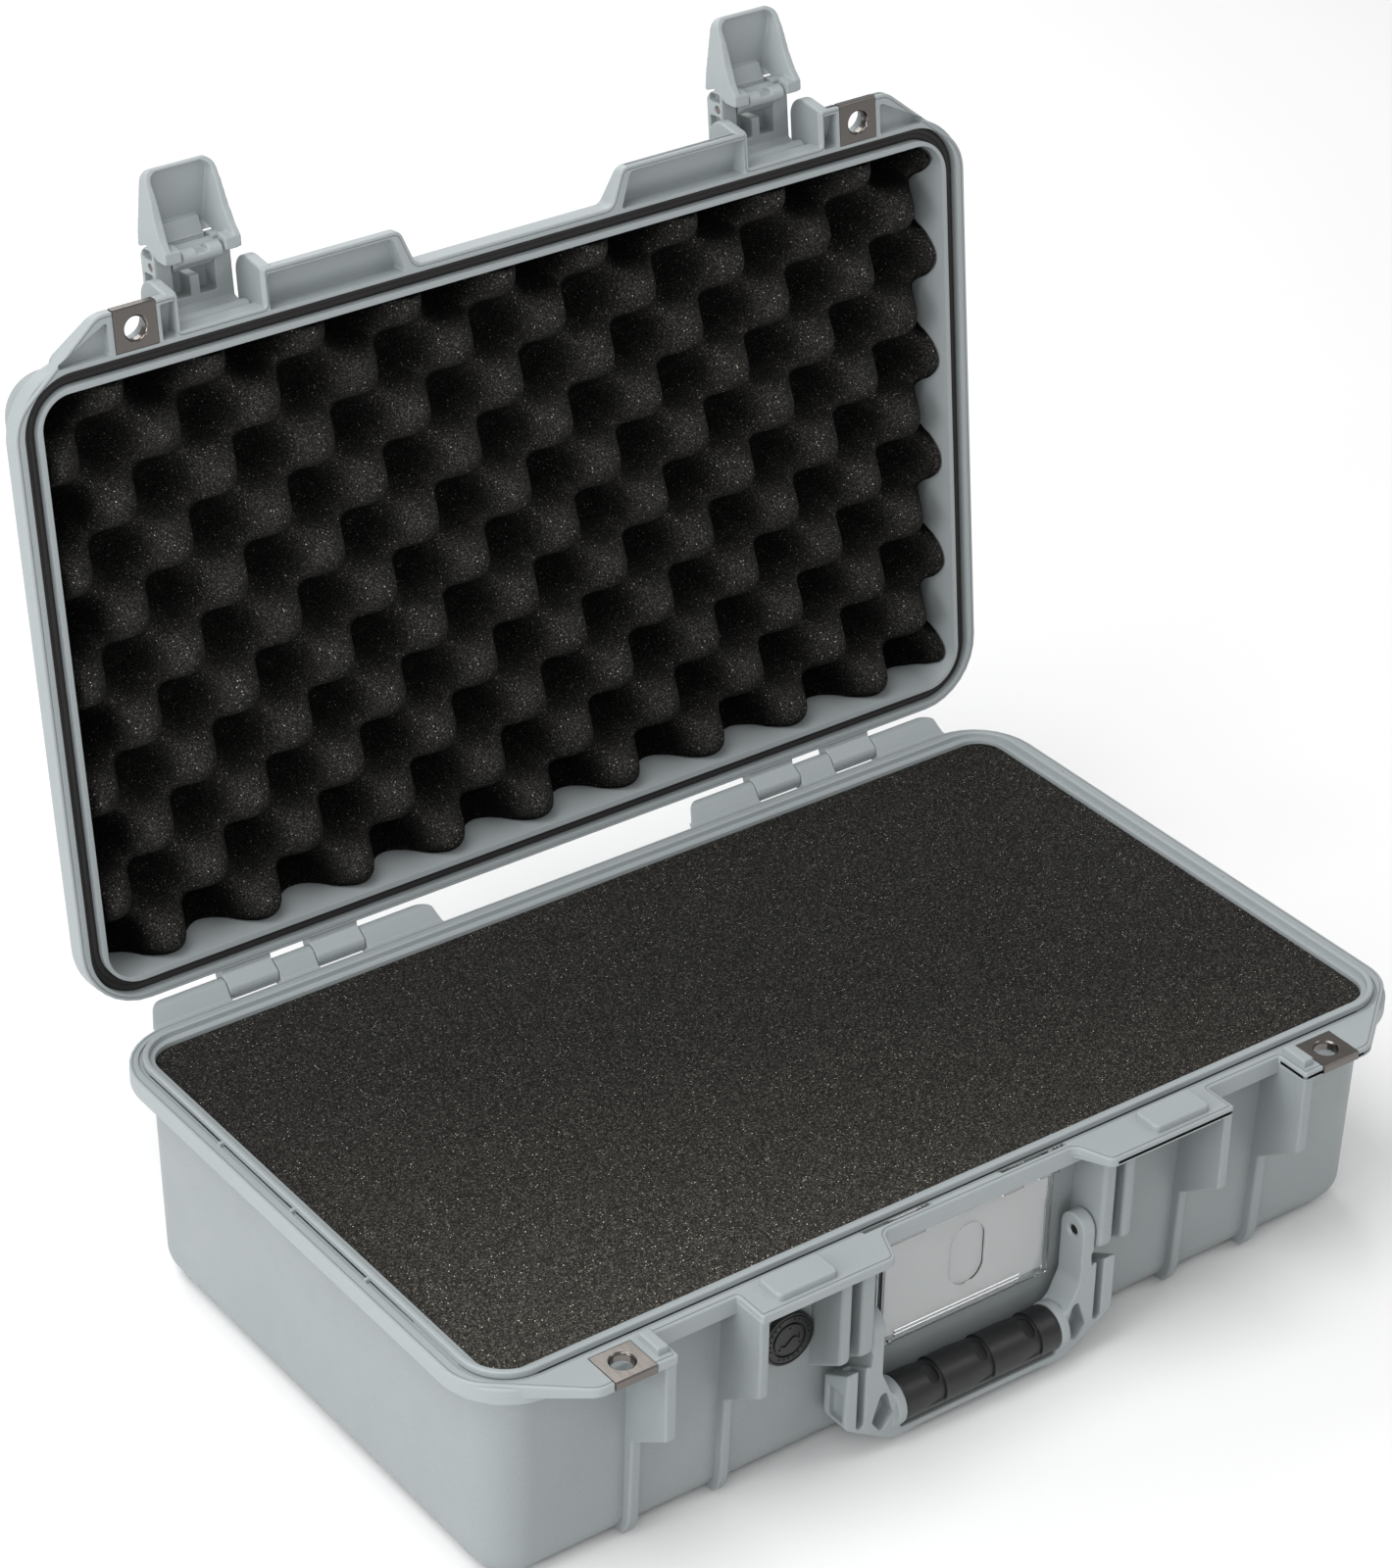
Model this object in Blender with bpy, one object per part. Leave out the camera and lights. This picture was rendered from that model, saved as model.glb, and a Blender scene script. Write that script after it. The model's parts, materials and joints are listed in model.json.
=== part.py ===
"""Hard protective equipment case, shown open: tub, lid, padlock points, two lever latches, fold-down handle.

Units are metres and +Z is up. The origin is the centre of the flat underside and +Y runs back to the hinges.
Lid and latch pieces are drawn as the closed lid holds them and hang from an empty on the hinge axis.
"""

import math

import bmesh
import bpy
from mathutils import Vector

# ---- driving dimensions ----
GAP = 0.0003  # clearance between pieces that touch
PARTING = 0.108  # height of the plane where base and lid meet
WALL = (0.2285, 0.1325)  # outer wall, half sizes at the parting plane
WALL_CORNER = 0.019
BASE_DRAFT = math.radians(1.3)
LID_DRAFT = math.radians(2.0)
END_RADIUS = 0.014  # rounding of the bottom and of the lid roof
LID_HEIGHT = 0.040
CAVITY = (0.2259, 0.1299)
CAVITY_CORNER = 0.0135
FLOOR = 0.004

RIM = (0.2383, 0.1420)
RIM_CORNER = 0.030
BASE_RIM_DEPTH, LID_RIM_DEPTH = 0.0090, 0.0095
BASE_TAB_EDGE, LID_TAB_EDGE = 0.0043, 0.0050
LID_BUTTRESS = 0.0200  # depth the lid's tabs would reach at TAB_ROOT
TAB_FRONT, TAB_ROOT = -0.1580, -0.1120

RIDGE_OUTER, RIDGE_WIDTH, RIDGE_HEIGHT = (0.2316, 0.1358), 0.0026, 0.0028
GASKET_OUTER, GASKET_WIDTH = (0.23405, 0.1384), 0.0058
GASKET_RECESS, GASKET_THICK = 0.0031, 0.0029

HINGE = Vector((0.0, 0.1506, PARTING + 0.0003))
LID_OPEN = math.radians(96.46)
HINGE_X = 0.1400
BARREL = 0.0053
HINGE_PIN = 0.0016
KNUCKLE_MID, KNUCKLE_LID, WING_BARREL, WING_RIM = 0.0094, 0.0340, 0.0610, 0.0730

PLATE_X, PLATE_WIDTH, PLATE_THICK, PLATE_LIP = 0.1802, 0.0194, 0.0012, 0.0037
PLATE_BACK = -0.1402
HOLE_Y, HOLE_RADIUS, BUSH_RADIUS, BUSH_LENGTH = -0.1486, 0.0048, 0.0057, 0.0036

HANDLE_PIVOT = Vector((0.0, -0.1415, PARTING - 0.0435))
ARM = (0.0515, 0.0580)
BOSSES = ((0.0587, 0.0655), (0.0704, 0.0758))
HANDLE_HALF_DEPTH = 0.0072
HANDLE_HALF_WIDTH, HANDLE_DROP = 0.0700, 0.0590
GRIP_HALF = 0.0405
GRIP_TOP, GRIP_BASE = -0.0346, -0.0550
HANDLE_PIN = 0.0020

LATCH_X = 0.1406
LATCH_PIVOT = Vector((0.0, -0.1385, PARTING + 0.0149))
LEVER_PIVOT = Vector((0.0, -0.1619, PARTING + 0.0245))
BODY_HALF, POST_WIDTH = 0.01765, 0.0079
LEVER_INNER_HALF = 0.0092
LATCH_PIN = 0.0015

VALVE = Vector((-0.0887, 0.0, PARTING - 0.0410))
VALVE_RADIUS, VALVE_STEM = 0.0124, 0.0064
CLIP_SLOTS = ((-0.0566, -0.0224), (0.0133, 0.0473))
SIDES = (("left", -1), ("right", 1))

# ---- shape helpers ----


def make_material(name, colour, roughness, metallic=0.0, alpha=1.0):
    material = bpy.data.materials.new(name)
    material.use_nodes = True
    shader = material.node_tree.nodes["Principled BSDF"]
    shader.inputs["Base Color"].default_value = (*colour, 1.0)
    shader.inputs["Roughness"].default_value = roughness
    shader.inputs["Metallic"].default_value = metallic
    shader.inputs["Alpha"].default_value = alpha
    return material


def skin(rings, looped=False):
    """A closed mesh over rings of equal count, capped at both ends unless it loops."""
    shape = bmesh.new()
    loops = [[shape.verts.new(p) for p in ring] for ring in rings]
    pairs = list(zip(loops, loops[1:]))
    if looped:
        pairs.append((loops[-1], loops[0]))
    for low, high in pairs:
        for i in range(len(low)):
            j = (i + 1) % len(low)
            shape.faces.new((low[i], low[j], high[j], high[i]))
    if not looped:
        shape.faces.new(loops[0][::-1])
        shape.faces.new(loops[-1])
    bmesh.ops.recalc_face_normals(shape, faces=shape.faces)
    mesh = bpy.data.meshes.new("shape")
    shape.to_mesh(mesh)
    shape.free()
    return mesh


def fillet(points, radii, steps=4):
    """The outline with each corner replaced by an arc of its radius (0 keeps the corner)."""
    outline = []
    for i, point in enumerate(points):
        here = Vector(point)
        radius = radii[i] if isinstance(radii, (list, tuple)) else radii
        if radius <= 0:
            outline.append(here)
            continue
        before = (Vector(points[i - 1]) - here).normalized()
        after = (Vector(points[(i + 1) % len(points)]) - here).normalized()
        half = before.angle(after) / 2
        centre = here + (before + after).normalized() * radius / math.sin(half)
        start = here + before * radius / math.tan(half) - centre
        end = here + after * radius / math.tan(half) - centre
        turn = -start.angle_signed(end)
        for k in range(steps + 1):
            a = turn * k / steps
            x = start.x * math.cos(a) - start.y * math.sin(a)
            y = start.x * math.sin(a) + start.y * math.cos(a)
            outline.append(centre + Vector((x, y)))
    return outline


def rounded_rectangle(half_x, half_y, radius, steps=5):
    return fillet([(half_x, half_y), (-half_x, half_y), (-half_x, -half_y), (half_x, -half_y)], radius, steps)


def prism(outline, low, high):
    """An (x, y) outline between two heights, each a number or a function of y."""
    rings = []
    for level in (low, high):
        rings.append([(p[0], p[1], level(p[1]) if callable(level) else level) for p in outline])
    return skin(rings)


def slab_x(outline, x0, x1):
    """A (y, z) outline carried along X."""
    return skin([[(x, p[0], p[1]) for p in outline] for x in (x0, x1)])


def slab_y(outline, y0, y1):
    """An (x, z) outline carried along Y."""
    return skin([[(p[0], y, p[1]) for p in outline] for y in (y0, y1)])


def block(x, y, z):
    return prism([(x[0], y[0]), (x[1], y[0]), (x[1], y[1]), (x[0], y[1])], z[0], z[1])


def arc_points(centre, radius, first, last, steps):
    """Points of a circle in the (y, z) plane, from one angle to another in degrees."""
    points = []
    for k in range(steps + 1):
        a = math.radians(first + (last - first) * k / steps)
        points.append((centre[0] + radius * math.cos(a), centre[1] + radius * math.sin(a)))
    return points


def rod(axis, centre, radius, length, sides=20):
    rings = []
    for end in (-length / 2, length / 2):
        ring = []
        for k in range(sides):
            a = 2 * math.pi * (k + 0.5) / sides
            p = [0.0, 0.0, 0.0]
            p[axis] = end
            p[(axis + 1) % 3] = radius * math.cos(a)
            p[(axis + 2) % 3] = radius * math.sin(a)
            ring.append(Vector(centre) + Vector(p))
        rings.append(ring)
    return skin(rings)


def band(outer, inner, low, high):
    """A flat ring between two outlines of equal count."""
    levels = ((outer, low), (outer, high), (inner, high), (inner, low))
    return skin([[(p[0], p[1], z) for p in outline] for outline, z in levels], looped=True)


def tub(half, corner, depth, draft, radius, direction, level, steps=5):
    """A drafted tub from the parting plane to its flat end, rounded where wall and end meet."""
    straight = depth - radius
    inset = math.tan(draft) * straight
    levels = [(0.0, 0.0), (straight, inset)]
    for k in range(1, steps + 1):
        a = math.pi / 2 * k / steps
        levels.append((straight + radius * math.sin(a), inset + radius * (1 - math.cos(a))))
    rings = []
    for down, shrink in levels:
        ring = rounded_rectangle(half[0] - shrink, half[1] - shrink, max(corner - 0.7 * shrink, 0.004))
        rings.append([(p.x, p.y, level + direction * down) for p in ring])
    return rings


def on_side(outline, side):
    """The outline, or its mirror image on the -X side."""
    return [Vector(p) for p in outline] if side > 0 else [Vector((-p[0], p[1])) for p in outline][::-1]


def span(x0, x1, side):
    return (x0, x1) if side > 0 else (-x1, -x0)


# ---- object helpers ----


def axis_empty(name, point, parent=None):
    """An empty on a joint axis. Pieces hung from it are drawn in place, as if it were not turned."""
    empty = bpy.data.objects.new(name, None)
    bpy.context.scene.collection.objects.link(empty)
    empty["drawn_at"] = tuple(point)
    empty.location = Vector(point) - (Vector(parent["drawn_at"]) if parent else Vector())
    empty.parent = parent
    return empty


def place(name, mesh, parent):
    obj = bpy.data.objects.new(name, mesh)
    bpy.context.scene.collection.objects.link(obj)
    if parent:
        obj.parent = parent
        obj.location = -Vector(parent["drawn_at"])
    return obj


class Piece:
    """One node, grown by adding and cutting shapes; done() settles the result and shades it."""

    def __init__(self, name, mesh, material, parent=None):
        self.obj = place(name, mesh, parent)
        self.material = material
        self.helpers = []

    def combine(self, mesh, operation, edge):
        helper = place(self.obj.name + "_tool", mesh, self.obj.parent)
        helper.hide_render = True
        helper.display_type = "WIRE"
        if edge:
            bevel = helper.modifiers.new("edge", "BEVEL")
            bevel.width = edge
            bevel.segments = 1
            bevel.limit_method = "ANGLE"
            bevel.angle_limit = math.radians(40)
        boolean = self.obj.modifiers.new("combine", "BOOLEAN")
        boolean.operation = operation
        boolean.solver = "EXACT"
        boolean.object = helper
        self.helpers.append(helper)

    def add(self, mesh, edge=0.0):
        self.combine(mesh, "UNION", edge)

    def cut(self, mesh, edge=0.0):
        self.combine(mesh, "DIFFERENCE", edge)

    def done(self, angle=32):
        obj = self.obj
        if obj.modifiers:
            bpy.context.view_layer.update()
            graph = bpy.context.evaluated_depsgraph_get()
            mesh = bpy.data.meshes.new_from_object(obj.evaluated_get(graph))
            obj.modifiers.clear()
            obj.data = mesh
        for helper in self.helpers:
            bpy.data.objects.remove(helper, do_unlink=True)
        obj.data.materials.clear()
        obj.data.materials.append(self.material)
        obj.data.shade_smooth()
        obj.data.set_sharp_from_angle(angle=math.radians(angle))
        return obj


# ---- outlines shared by base and lid ----


def padlock_tab():
    points = [(0.1603, -0.1310), (0.1603, TAB_FRONT), (0.1970, TAB_FRONT), (0.2381, -0.1245),
              (0.2381, TAB_ROOT), (0.2310, TAB_ROOT), (0.2250, -0.1310)]
    return fillet(points, [0, 0.0012, 0.010, 0.022, 0, 0, 0], 4)


def catch_tab():
    points = [(0.0450, -0.1412), (0.0490, -0.1412), (0.0555, TAB_FRONT), (0.1209, TAB_FRONT),
              (0.1209, -0.1310), (0.0450, -0.1310)]
    return fillet(points, [0, 0.004, 0.004, 0.0012, 0, 0], 3)


def tab_level(face, edge, root, direction):
    """Height of a tab's outer side: thin at its front edge and deeper toward the wall."""
    def level(y):
        return face + direction * (edge + (root - edge) * (y - TAB_FRONT) / (TAB_ROOT - TAB_FRONT))
    return level


def add_rim(piece, face, depth, direction):
    ends = sorted((face, face + direction * depth))
    piece.add(prism(rounded_rectangle(*RIM, RIM_CORNER, 7), *ends))


def add_tabs(piece, face, edge, roots, direction):
    """The padlock and catch tabs. roots gives each one's depth at TAB_ROOT."""
    for _, side in SIDES:
        for outline, root in zip((padlock_tab(), catch_tab()), roots):
            outer = tab_level(face, edge, root, direction)
            low, high = (outer, face) if direction < 0 else (face, outer)
            piece.add(prism(on_side(outline, side), low, high))


def cut_padlock_seat(piece, side, face, direction):
    """Inlet for a steel plate with its folded lip, and the hole for its bush."""
    x = span(PLATE_X - PLATE_WIDTH / 2 - GAP, PLATE_X + PLATE_WIDTH / 2 + GAP, side)
    deep = face + direction * (PLATE_THICK + GAP)
    piece.cut(block(x, (TAB_FRONT - 0.003, PLATE_BACK + GAP), sorted((deep, face - direction * 0.002))))
    deep = face + direction * 0.012
    piece.cut(block(x, (TAB_FRONT - 0.003, TAB_FRONT + PLATE_THICK), sorted((deep, face - direction * 0.002))))
    piece.cut(rod(2, (side * PLATE_X, HOLE_Y, face), BUSH_RADIUS + GAP, 0.06, 24))


def make_padlock_plate(name, side, face, direction, steel, parent=None):
    x = span(PLATE_X - PLATE_WIDTH / 2, PLATE_X + PLATE_WIDTH / 2, side)
    front = TAB_FRONT - 0.0004
    back = face + direction * PLATE_THICK
    plate = Piece(name, block(x, (front, PLATE_BACK), sorted((face, back))), steel, parent)
    plate.add(block(x, (front, front + PLATE_THICK), sorted((face, face + direction * PLATE_LIP))))
    middle = face + direction * BUSH_LENGTH / 2
    plate.add(rod(2, (side * PLATE_X, HOLE_Y, middle), BUSH_RADIUS, BUSH_LENGTH, 24))
    plate.cut(rod(2, (side * PLATE_X, HOLE_Y, face), HOLE_RADIUS, 0.03, 24))
    return plate.done()


# ---- base ----


def rib_side(front, tip, corner):
    """Side view of a rib below the rim: its underside falls back from the front edge to the wall."""
    root = -WALL[1] + 0.0035
    heel = tip + 0.78 * (-WALL[1] - front)
    points = [(root, PARTING - 0.002), (front, PARTING - 0.002), (front, PARTING - tip), (root, PARTING - heel)]
    return fillet(points, [0, 0, corner, 0], 4)


def lower_rib_side():
    """Side view of the slim rib that carries a web on down the wall and round the bottom edge."""
    foot = PARTING - END_RADIUS
    centre = (-WALL[1] + math.tan(BASE_DRAFT) * foot + END_RADIUS, END_RADIUS)
    top = PARTING - 0.045
    points = [(-WALL[1] + 0.005, top), (-WALL[1] - 0.0036, top)]
    points += arc_points(centre, END_RADIUS + 0.0040, 180, 226, 5)
    points.append((centre[0] + 0.004, 0.0012))
    return points


def base_wing(centre, outer_side):
    """A base knuckle: barrel, web and rim blend. Outer knuckles draw in toward the barrel."""
    inner = centre + outer_side * (KNUCKLE_LID + GAP)
    barrel_end = centre + outer_side * WING_BARREL
    rim_end = centre + outer_side * WING_RIM
    outline = base_leaf()
    rings = []
    for t in range(5):
        ring = []
        for y, z in outline:
            back = min(max((y - 0.1405) / (HINGE.y + BARREL - 0.1405), 0), 1)
            end = rim_end + (barrel_end - rim_end) * back**2.2
            ring.append((inner + (end - inner) * t / 4, y, z))
        rings.append(ring)
    return skin(rings)


def base_leaf():
    centre = (HINGE.y, HINGE.z)
    arc = arc_points(centre, BARREL, 118, -92, 12)
    return arc + [(0.1405, PARTING - BASE_RIM_DEPTH + 0.0006), (0.1405, PARTING - 0.0008), (0.1440, PARTING - 0.0006)]


def make_base_shell(plastic):
    shell = Piece("base_shell", skin(tub(WALL, WALL_CORNER, PARTING, BASE_DRAFT, END_RADIUS, -1, PARTING)), plastic)
    add_rim(shell, PARTING, BASE_RIM_DEPTH, -1)
    add_tabs(shell, PARTING, BASE_TAB_EDGE, (BASE_RIM_DEPTH - 0.0003,) * 2, -1)
    for _, side in SIDES:
        for x0, x1 in ((0.1605, 0.1660), (0.1165, 0.1212)):
            shell.add(slab_x(rib_side(TAB_FRONT + 0.0004, 0.041, 0.003), *span(x0, x1, side)), 0.0012)
            shell.add(slab_x(lower_rib_side(), *span(x0 + 0.0001, x1 - 0.0001, side)), 0.0015)
        for x0, x1 in BOSSES:
            shell.add(slab_x(rib_side(-0.1510, 0.050, 0.005), *span(x0, x1, side)), 0.0018)
        centre = side * HINGE_X
        shell.add(slab_x(base_leaf(), centre - KNUCKLE_MID, centre + KNUCKLE_MID))
        shell.add(base_wing(centre, 1))
        shell.add(base_wing(centre, -1))
        pad = fillet([(0.0815, -0.1545), (0.1105, -0.1545), (0.1105, -0.1405), (0.0815, -0.1405)], 0.0022, 2)
        shell.add(prism(on_side(pad, side), PARTING - 0.001, PARTING + 0.0035), 0.0009)
        bar = fillet([(0.1625, -0.1542), (0.1678, -0.1542), (0.1678, -0.1410), (0.1625, -0.1410)], 0.0008, 2)
        shell.add(prism(on_side(bar, side), PARTING - 0.001, PARTING + 0.0035), 0.0007)
    outer = rounded_rectangle(*RIDGE_OUTER, 0.0215)
    inner = rounded_rectangle(RIDGE_OUTER[0] - RIDGE_WIDTH, RIDGE_OUTER[1] - RIDGE_WIDTH, 0.0189)
    shell.add(band(outer, inner, PARTING - 0.001, PARTING + RIDGE_HEIGHT))
    cavity = tub(CAVITY, CAVITY_CORNER, PARTING - FLOOR, BASE_DRAFT, 0.010, -1, PARTING)
    cavity.insert(0, [(x, y, z + 0.01) for x, y, z in cavity[0]])
    shell.cut(skin(cavity))
    for _, side in SIDES:
        cut_padlock_seat(shell, side, PARTING, -1)
        shell.cut(rod(0, (side * 0.0645, HANDLE_PIVOT.y, HANDLE_PIVOT.z), HANDLE_PIN + GAP, 0.0180, 16))
        length = 2 * (WING_BARREL - 0.004)
        shell.cut(rod(0, (side * HINGE_X, HINGE.y, HINGE.z), HINGE_PIN + GAP, length, 16))
        for offset in (-0.0240, -0.0040, 0.0040, 0.0240):
            x = side * HINGE_X + offset + (0.0 if abs(offset) < 0.01 else math.copysign(0.026, offset))
            shell.cut(block((x - 0.0025, x + 0.0025), (HINGE.y + 0.0034, 0.17), (HINGE.z - 0.002, HINGE.z + 0.01)))
    shell.cut(rod(1, (VALVE.x, -WALL[1], VALVE.z), VALVE_STEM + GAP, 0.02, 24))
    for x in CLIP_SLOTS:
        shell.cut(block(x, (-0.1389, -0.1362), (PARTING - 0.020, PARTING + 0.004)))
    return shell.done()


def make_valve(black):
    wall = -WALL[1] + math.tan(BASE_DRAFT) * (PARTING - VALVE.z - 0.0130)
    front = wall - GAP - 0.0024
    body = Piece("valve_body", rod(1, (VALVE.x, wall - GAP - 0.0012, VALVE.z), VALVE_RADIUS, 0.0024, 36), black)
    body.add(rod(1, (VALVE.x, wall + 0.0032, VALVE.z), VALVE_STEM, 0.0110, 24))
    body.cut(rod(1, (VALVE.x, front, VALVE.z), 0.0072, 0.0024, 28))
    body.done()
    Piece("valve_cap", rod(1, (VALVE.x, front + 0.0003, VALVE.z), 0.0066, 0.0012, 28), black).done()
    inside = wall + (WALL[1] - CAVITY[1]) + GAP
    nut = Piece("valve_nut", rod(1, (VALVE.x, inside + 0.0022, VALVE.z), 0.0100, 0.0040, 6), black)
    nut.cut(rod(1, (VALVE.x, inside, VALVE.z), VALVE_STEM + GAP, 0.02, 24))
    nut.done()


def make_label(clear, card):
    low, high = PARTING - 0.0645, PARTING - 0.0096
    window = Piece("label_window", block((-0.0440, 0.0440), (-0.1358, -0.1347), (low, high)), clear)
    window.add(block((-0.0440, 0.0440), (-0.1366, -0.1323), (low, low + 0.0018)))
    window.add(block((-0.0400, 0.0400), (-0.1364, -0.1350), (low + 0.0030, low + 0.0038)))
    for _, side in SIDES:
        window.add(block(span(0.0426, 0.0440, side), (-0.1364, -0.1330), (low, high)))
    for x0, x1 in CLIP_SLOTS:
        for a, b in ((x0 + 0.002, x0 + 0.013), (x1 - 0.013, x1 - 0.002)):
            a, b = max(a, -0.0436), max(b, -0.0330)
            window.add(block((a, b), (-0.1384, -0.1352), (PARTING - 0.0130, PARTING - 0.0096)))
            window.add(block((a, b), (-0.1384, -0.1367), (PARTING - 0.0110, PARTING - 0.0005)))
    window.done()
    Piece("label_card", block((-0.0415, 0.0415), (-0.1343, -0.1338), (low + 0.0028, high - 0.0008)), card).done()


def make_foam_layer(name, low, high, foam):
    rings = []
    for z in (low, high):
        shrink = math.tan(BASE_DRAFT) * (PARTING - z) + 0.0006
        shrink += 0.0090 if z < 0.010 else 0.0
        ring = rounded_rectangle(CAVITY[0] - shrink, CAVITY[1] - shrink, CAVITY_CORNER - 0.001)
        rings.append([(p.x, p.y, z) for p in ring])
    return Piece(name, skin(rings), foam)


def make_base_foam(foam):
    make_foam_layer("base_foam_pad", FLOOR + GAP, 0.0163, foam).done()
    main = make_foam_layer("base_foam_block", 0.0166, PARTING - 0.0013, foam)
    main.cut(block((VALVE.x - 0.012, VALVE.x + 0.012), (-0.14, -0.1212), (VALVE.z - 0.012, VALVE.z + 0.012)))
    main.done()


# ---- handle ----


def make_handle(plastic, rubber, steel):
    swing = axis_empty("handle_axis", HANDLE_PIVOT)
    py, pz = HANDLE_PIVOT.y, HANDLE_PIVOT.z
    front, back = py - HANDLE_HALF_DEPTH, py + HANDLE_HALF_DEPTH
    base = GRIP_BASE - GAP
    cheek = GRIP_HALF + GAP
    half = [(0.0, -HANDLE_DROP), (0.0455, -HANDLE_DROP), (HANDLE_HALF_WIDTH, -0.0435), (HANDLE_HALF_WIDTH, -0.0140),
            (ARM[1], -0.0140), (ARM[1], -0.0040), (ARM[0], -0.0040), (ARM[0], -0.0230), (0.0465, -0.0345),
            (cheek, -0.0385), (cheek, base), (0.0, base)]
    radii = [0, 0.005, 0.004, 0, 0, 0, 0, 0.006, 0.005, 0.002, 0, 0]
    outline = [(x, pz + z) for x, z in fillet(half, radii, 4)]
    frame = Piece("handle_frame", slab_y(outline, front, back), plastic, swing)
    frame.add(slab_y(on_side(outline, -1), front, back))
    for _, side in SIDES:
        tip = arc_points((py, pz + 0.0010), HANDLE_HALF_DEPTH, 0, 180, 10)
        frame.add(slab_x(tip + [(front, pz - 0.020), (back, pz - 0.020)], *span(*ARM, side)))
        clear_top = [(front - 0.001, pz + 0.004), (back + 0.001, pz + 0.004), (back + 0.001, pz - 0.0242),
                     (front - 0.001, pz - 0.0150)]
        frame.cut(slab_x(clear_top, *span(ARM[1] + 0.0001, 0.0800, side)))
        frame.cut(block(span(0.0598, 0.0645, side), (front - 0.001, back - 0.004), (pz - 0.0450, pz - 0.0100)))
        frame.cut(block(span(0.0668, 0.0800, side), (front + 0.003, back - 0.003), (pz - 0.0405, pz - 0.0290)))
        wedge = fillet([(0.0440, -0.0440), (0.0505, -0.0300), (0.0550, -0.0440), (0.0500, -0.0515)], 0.0018, 2)
        frame.cut(slab_y([(x, pz + z) for x, z in on_side(wedge, side)], front - 0.001, front + 0.006))
        frame.cut(rod(0, (side * 0.055, py, pz), HANDLE_PIN + GAP, 0.02, 16))
    frame.done()
    grip_centre = pz + (GRIP_TOP + GRIP_BASE) / 2
    radius = (GRIP_TOP - GRIP_BASE) / 2
    sleeve = arc_points((py - 0.0006, grip_centre), radius, -52, 232, 20)
    Piece("handle_grip", slab_x(sleeve, -GRIP_HALF, GRIP_HALF), rubber, swing).done()
    for word, side in SIDES:
        x = span(ARM[0] + 0.0010, 0.0731, side)
        pin = rod(0, ((x[0] + x[1]) / 2, py, pz), HANDLE_PIN, x[1] - x[0], 16)
        Piece("handle_pin_" + word, pin, steel, swing).done()


# ---- lid ----

LID_FACE = PARTING + GAP


def lid_leaf():
    centre = (HINGE.y, HINGE.z)
    arc = arc_points(centre, BARREL, -118, 92, 12)
    return arc + [(0.1405, LID_FACE + LID_RIM_DEPTH - 0.0006), (0.1405, LID_FACE + 0.0006), (0.1440, LID_FACE + 0.0004)]


def ear_side():
    """Side view of the ear that carries a latch pin."""
    points = [(-0.1303, LID_FACE + 0.0012), (-0.1581, LID_FACE + 0.0012), (-0.1606, LID_FACE + 0.0120),
              (-0.1606, LID_FACE + 0.0220), (-0.1303, LID_FACE + 0.0220)]
    return fillet(points, [0, 0.001, 0.001, 0.0085, 0], 5)


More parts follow.
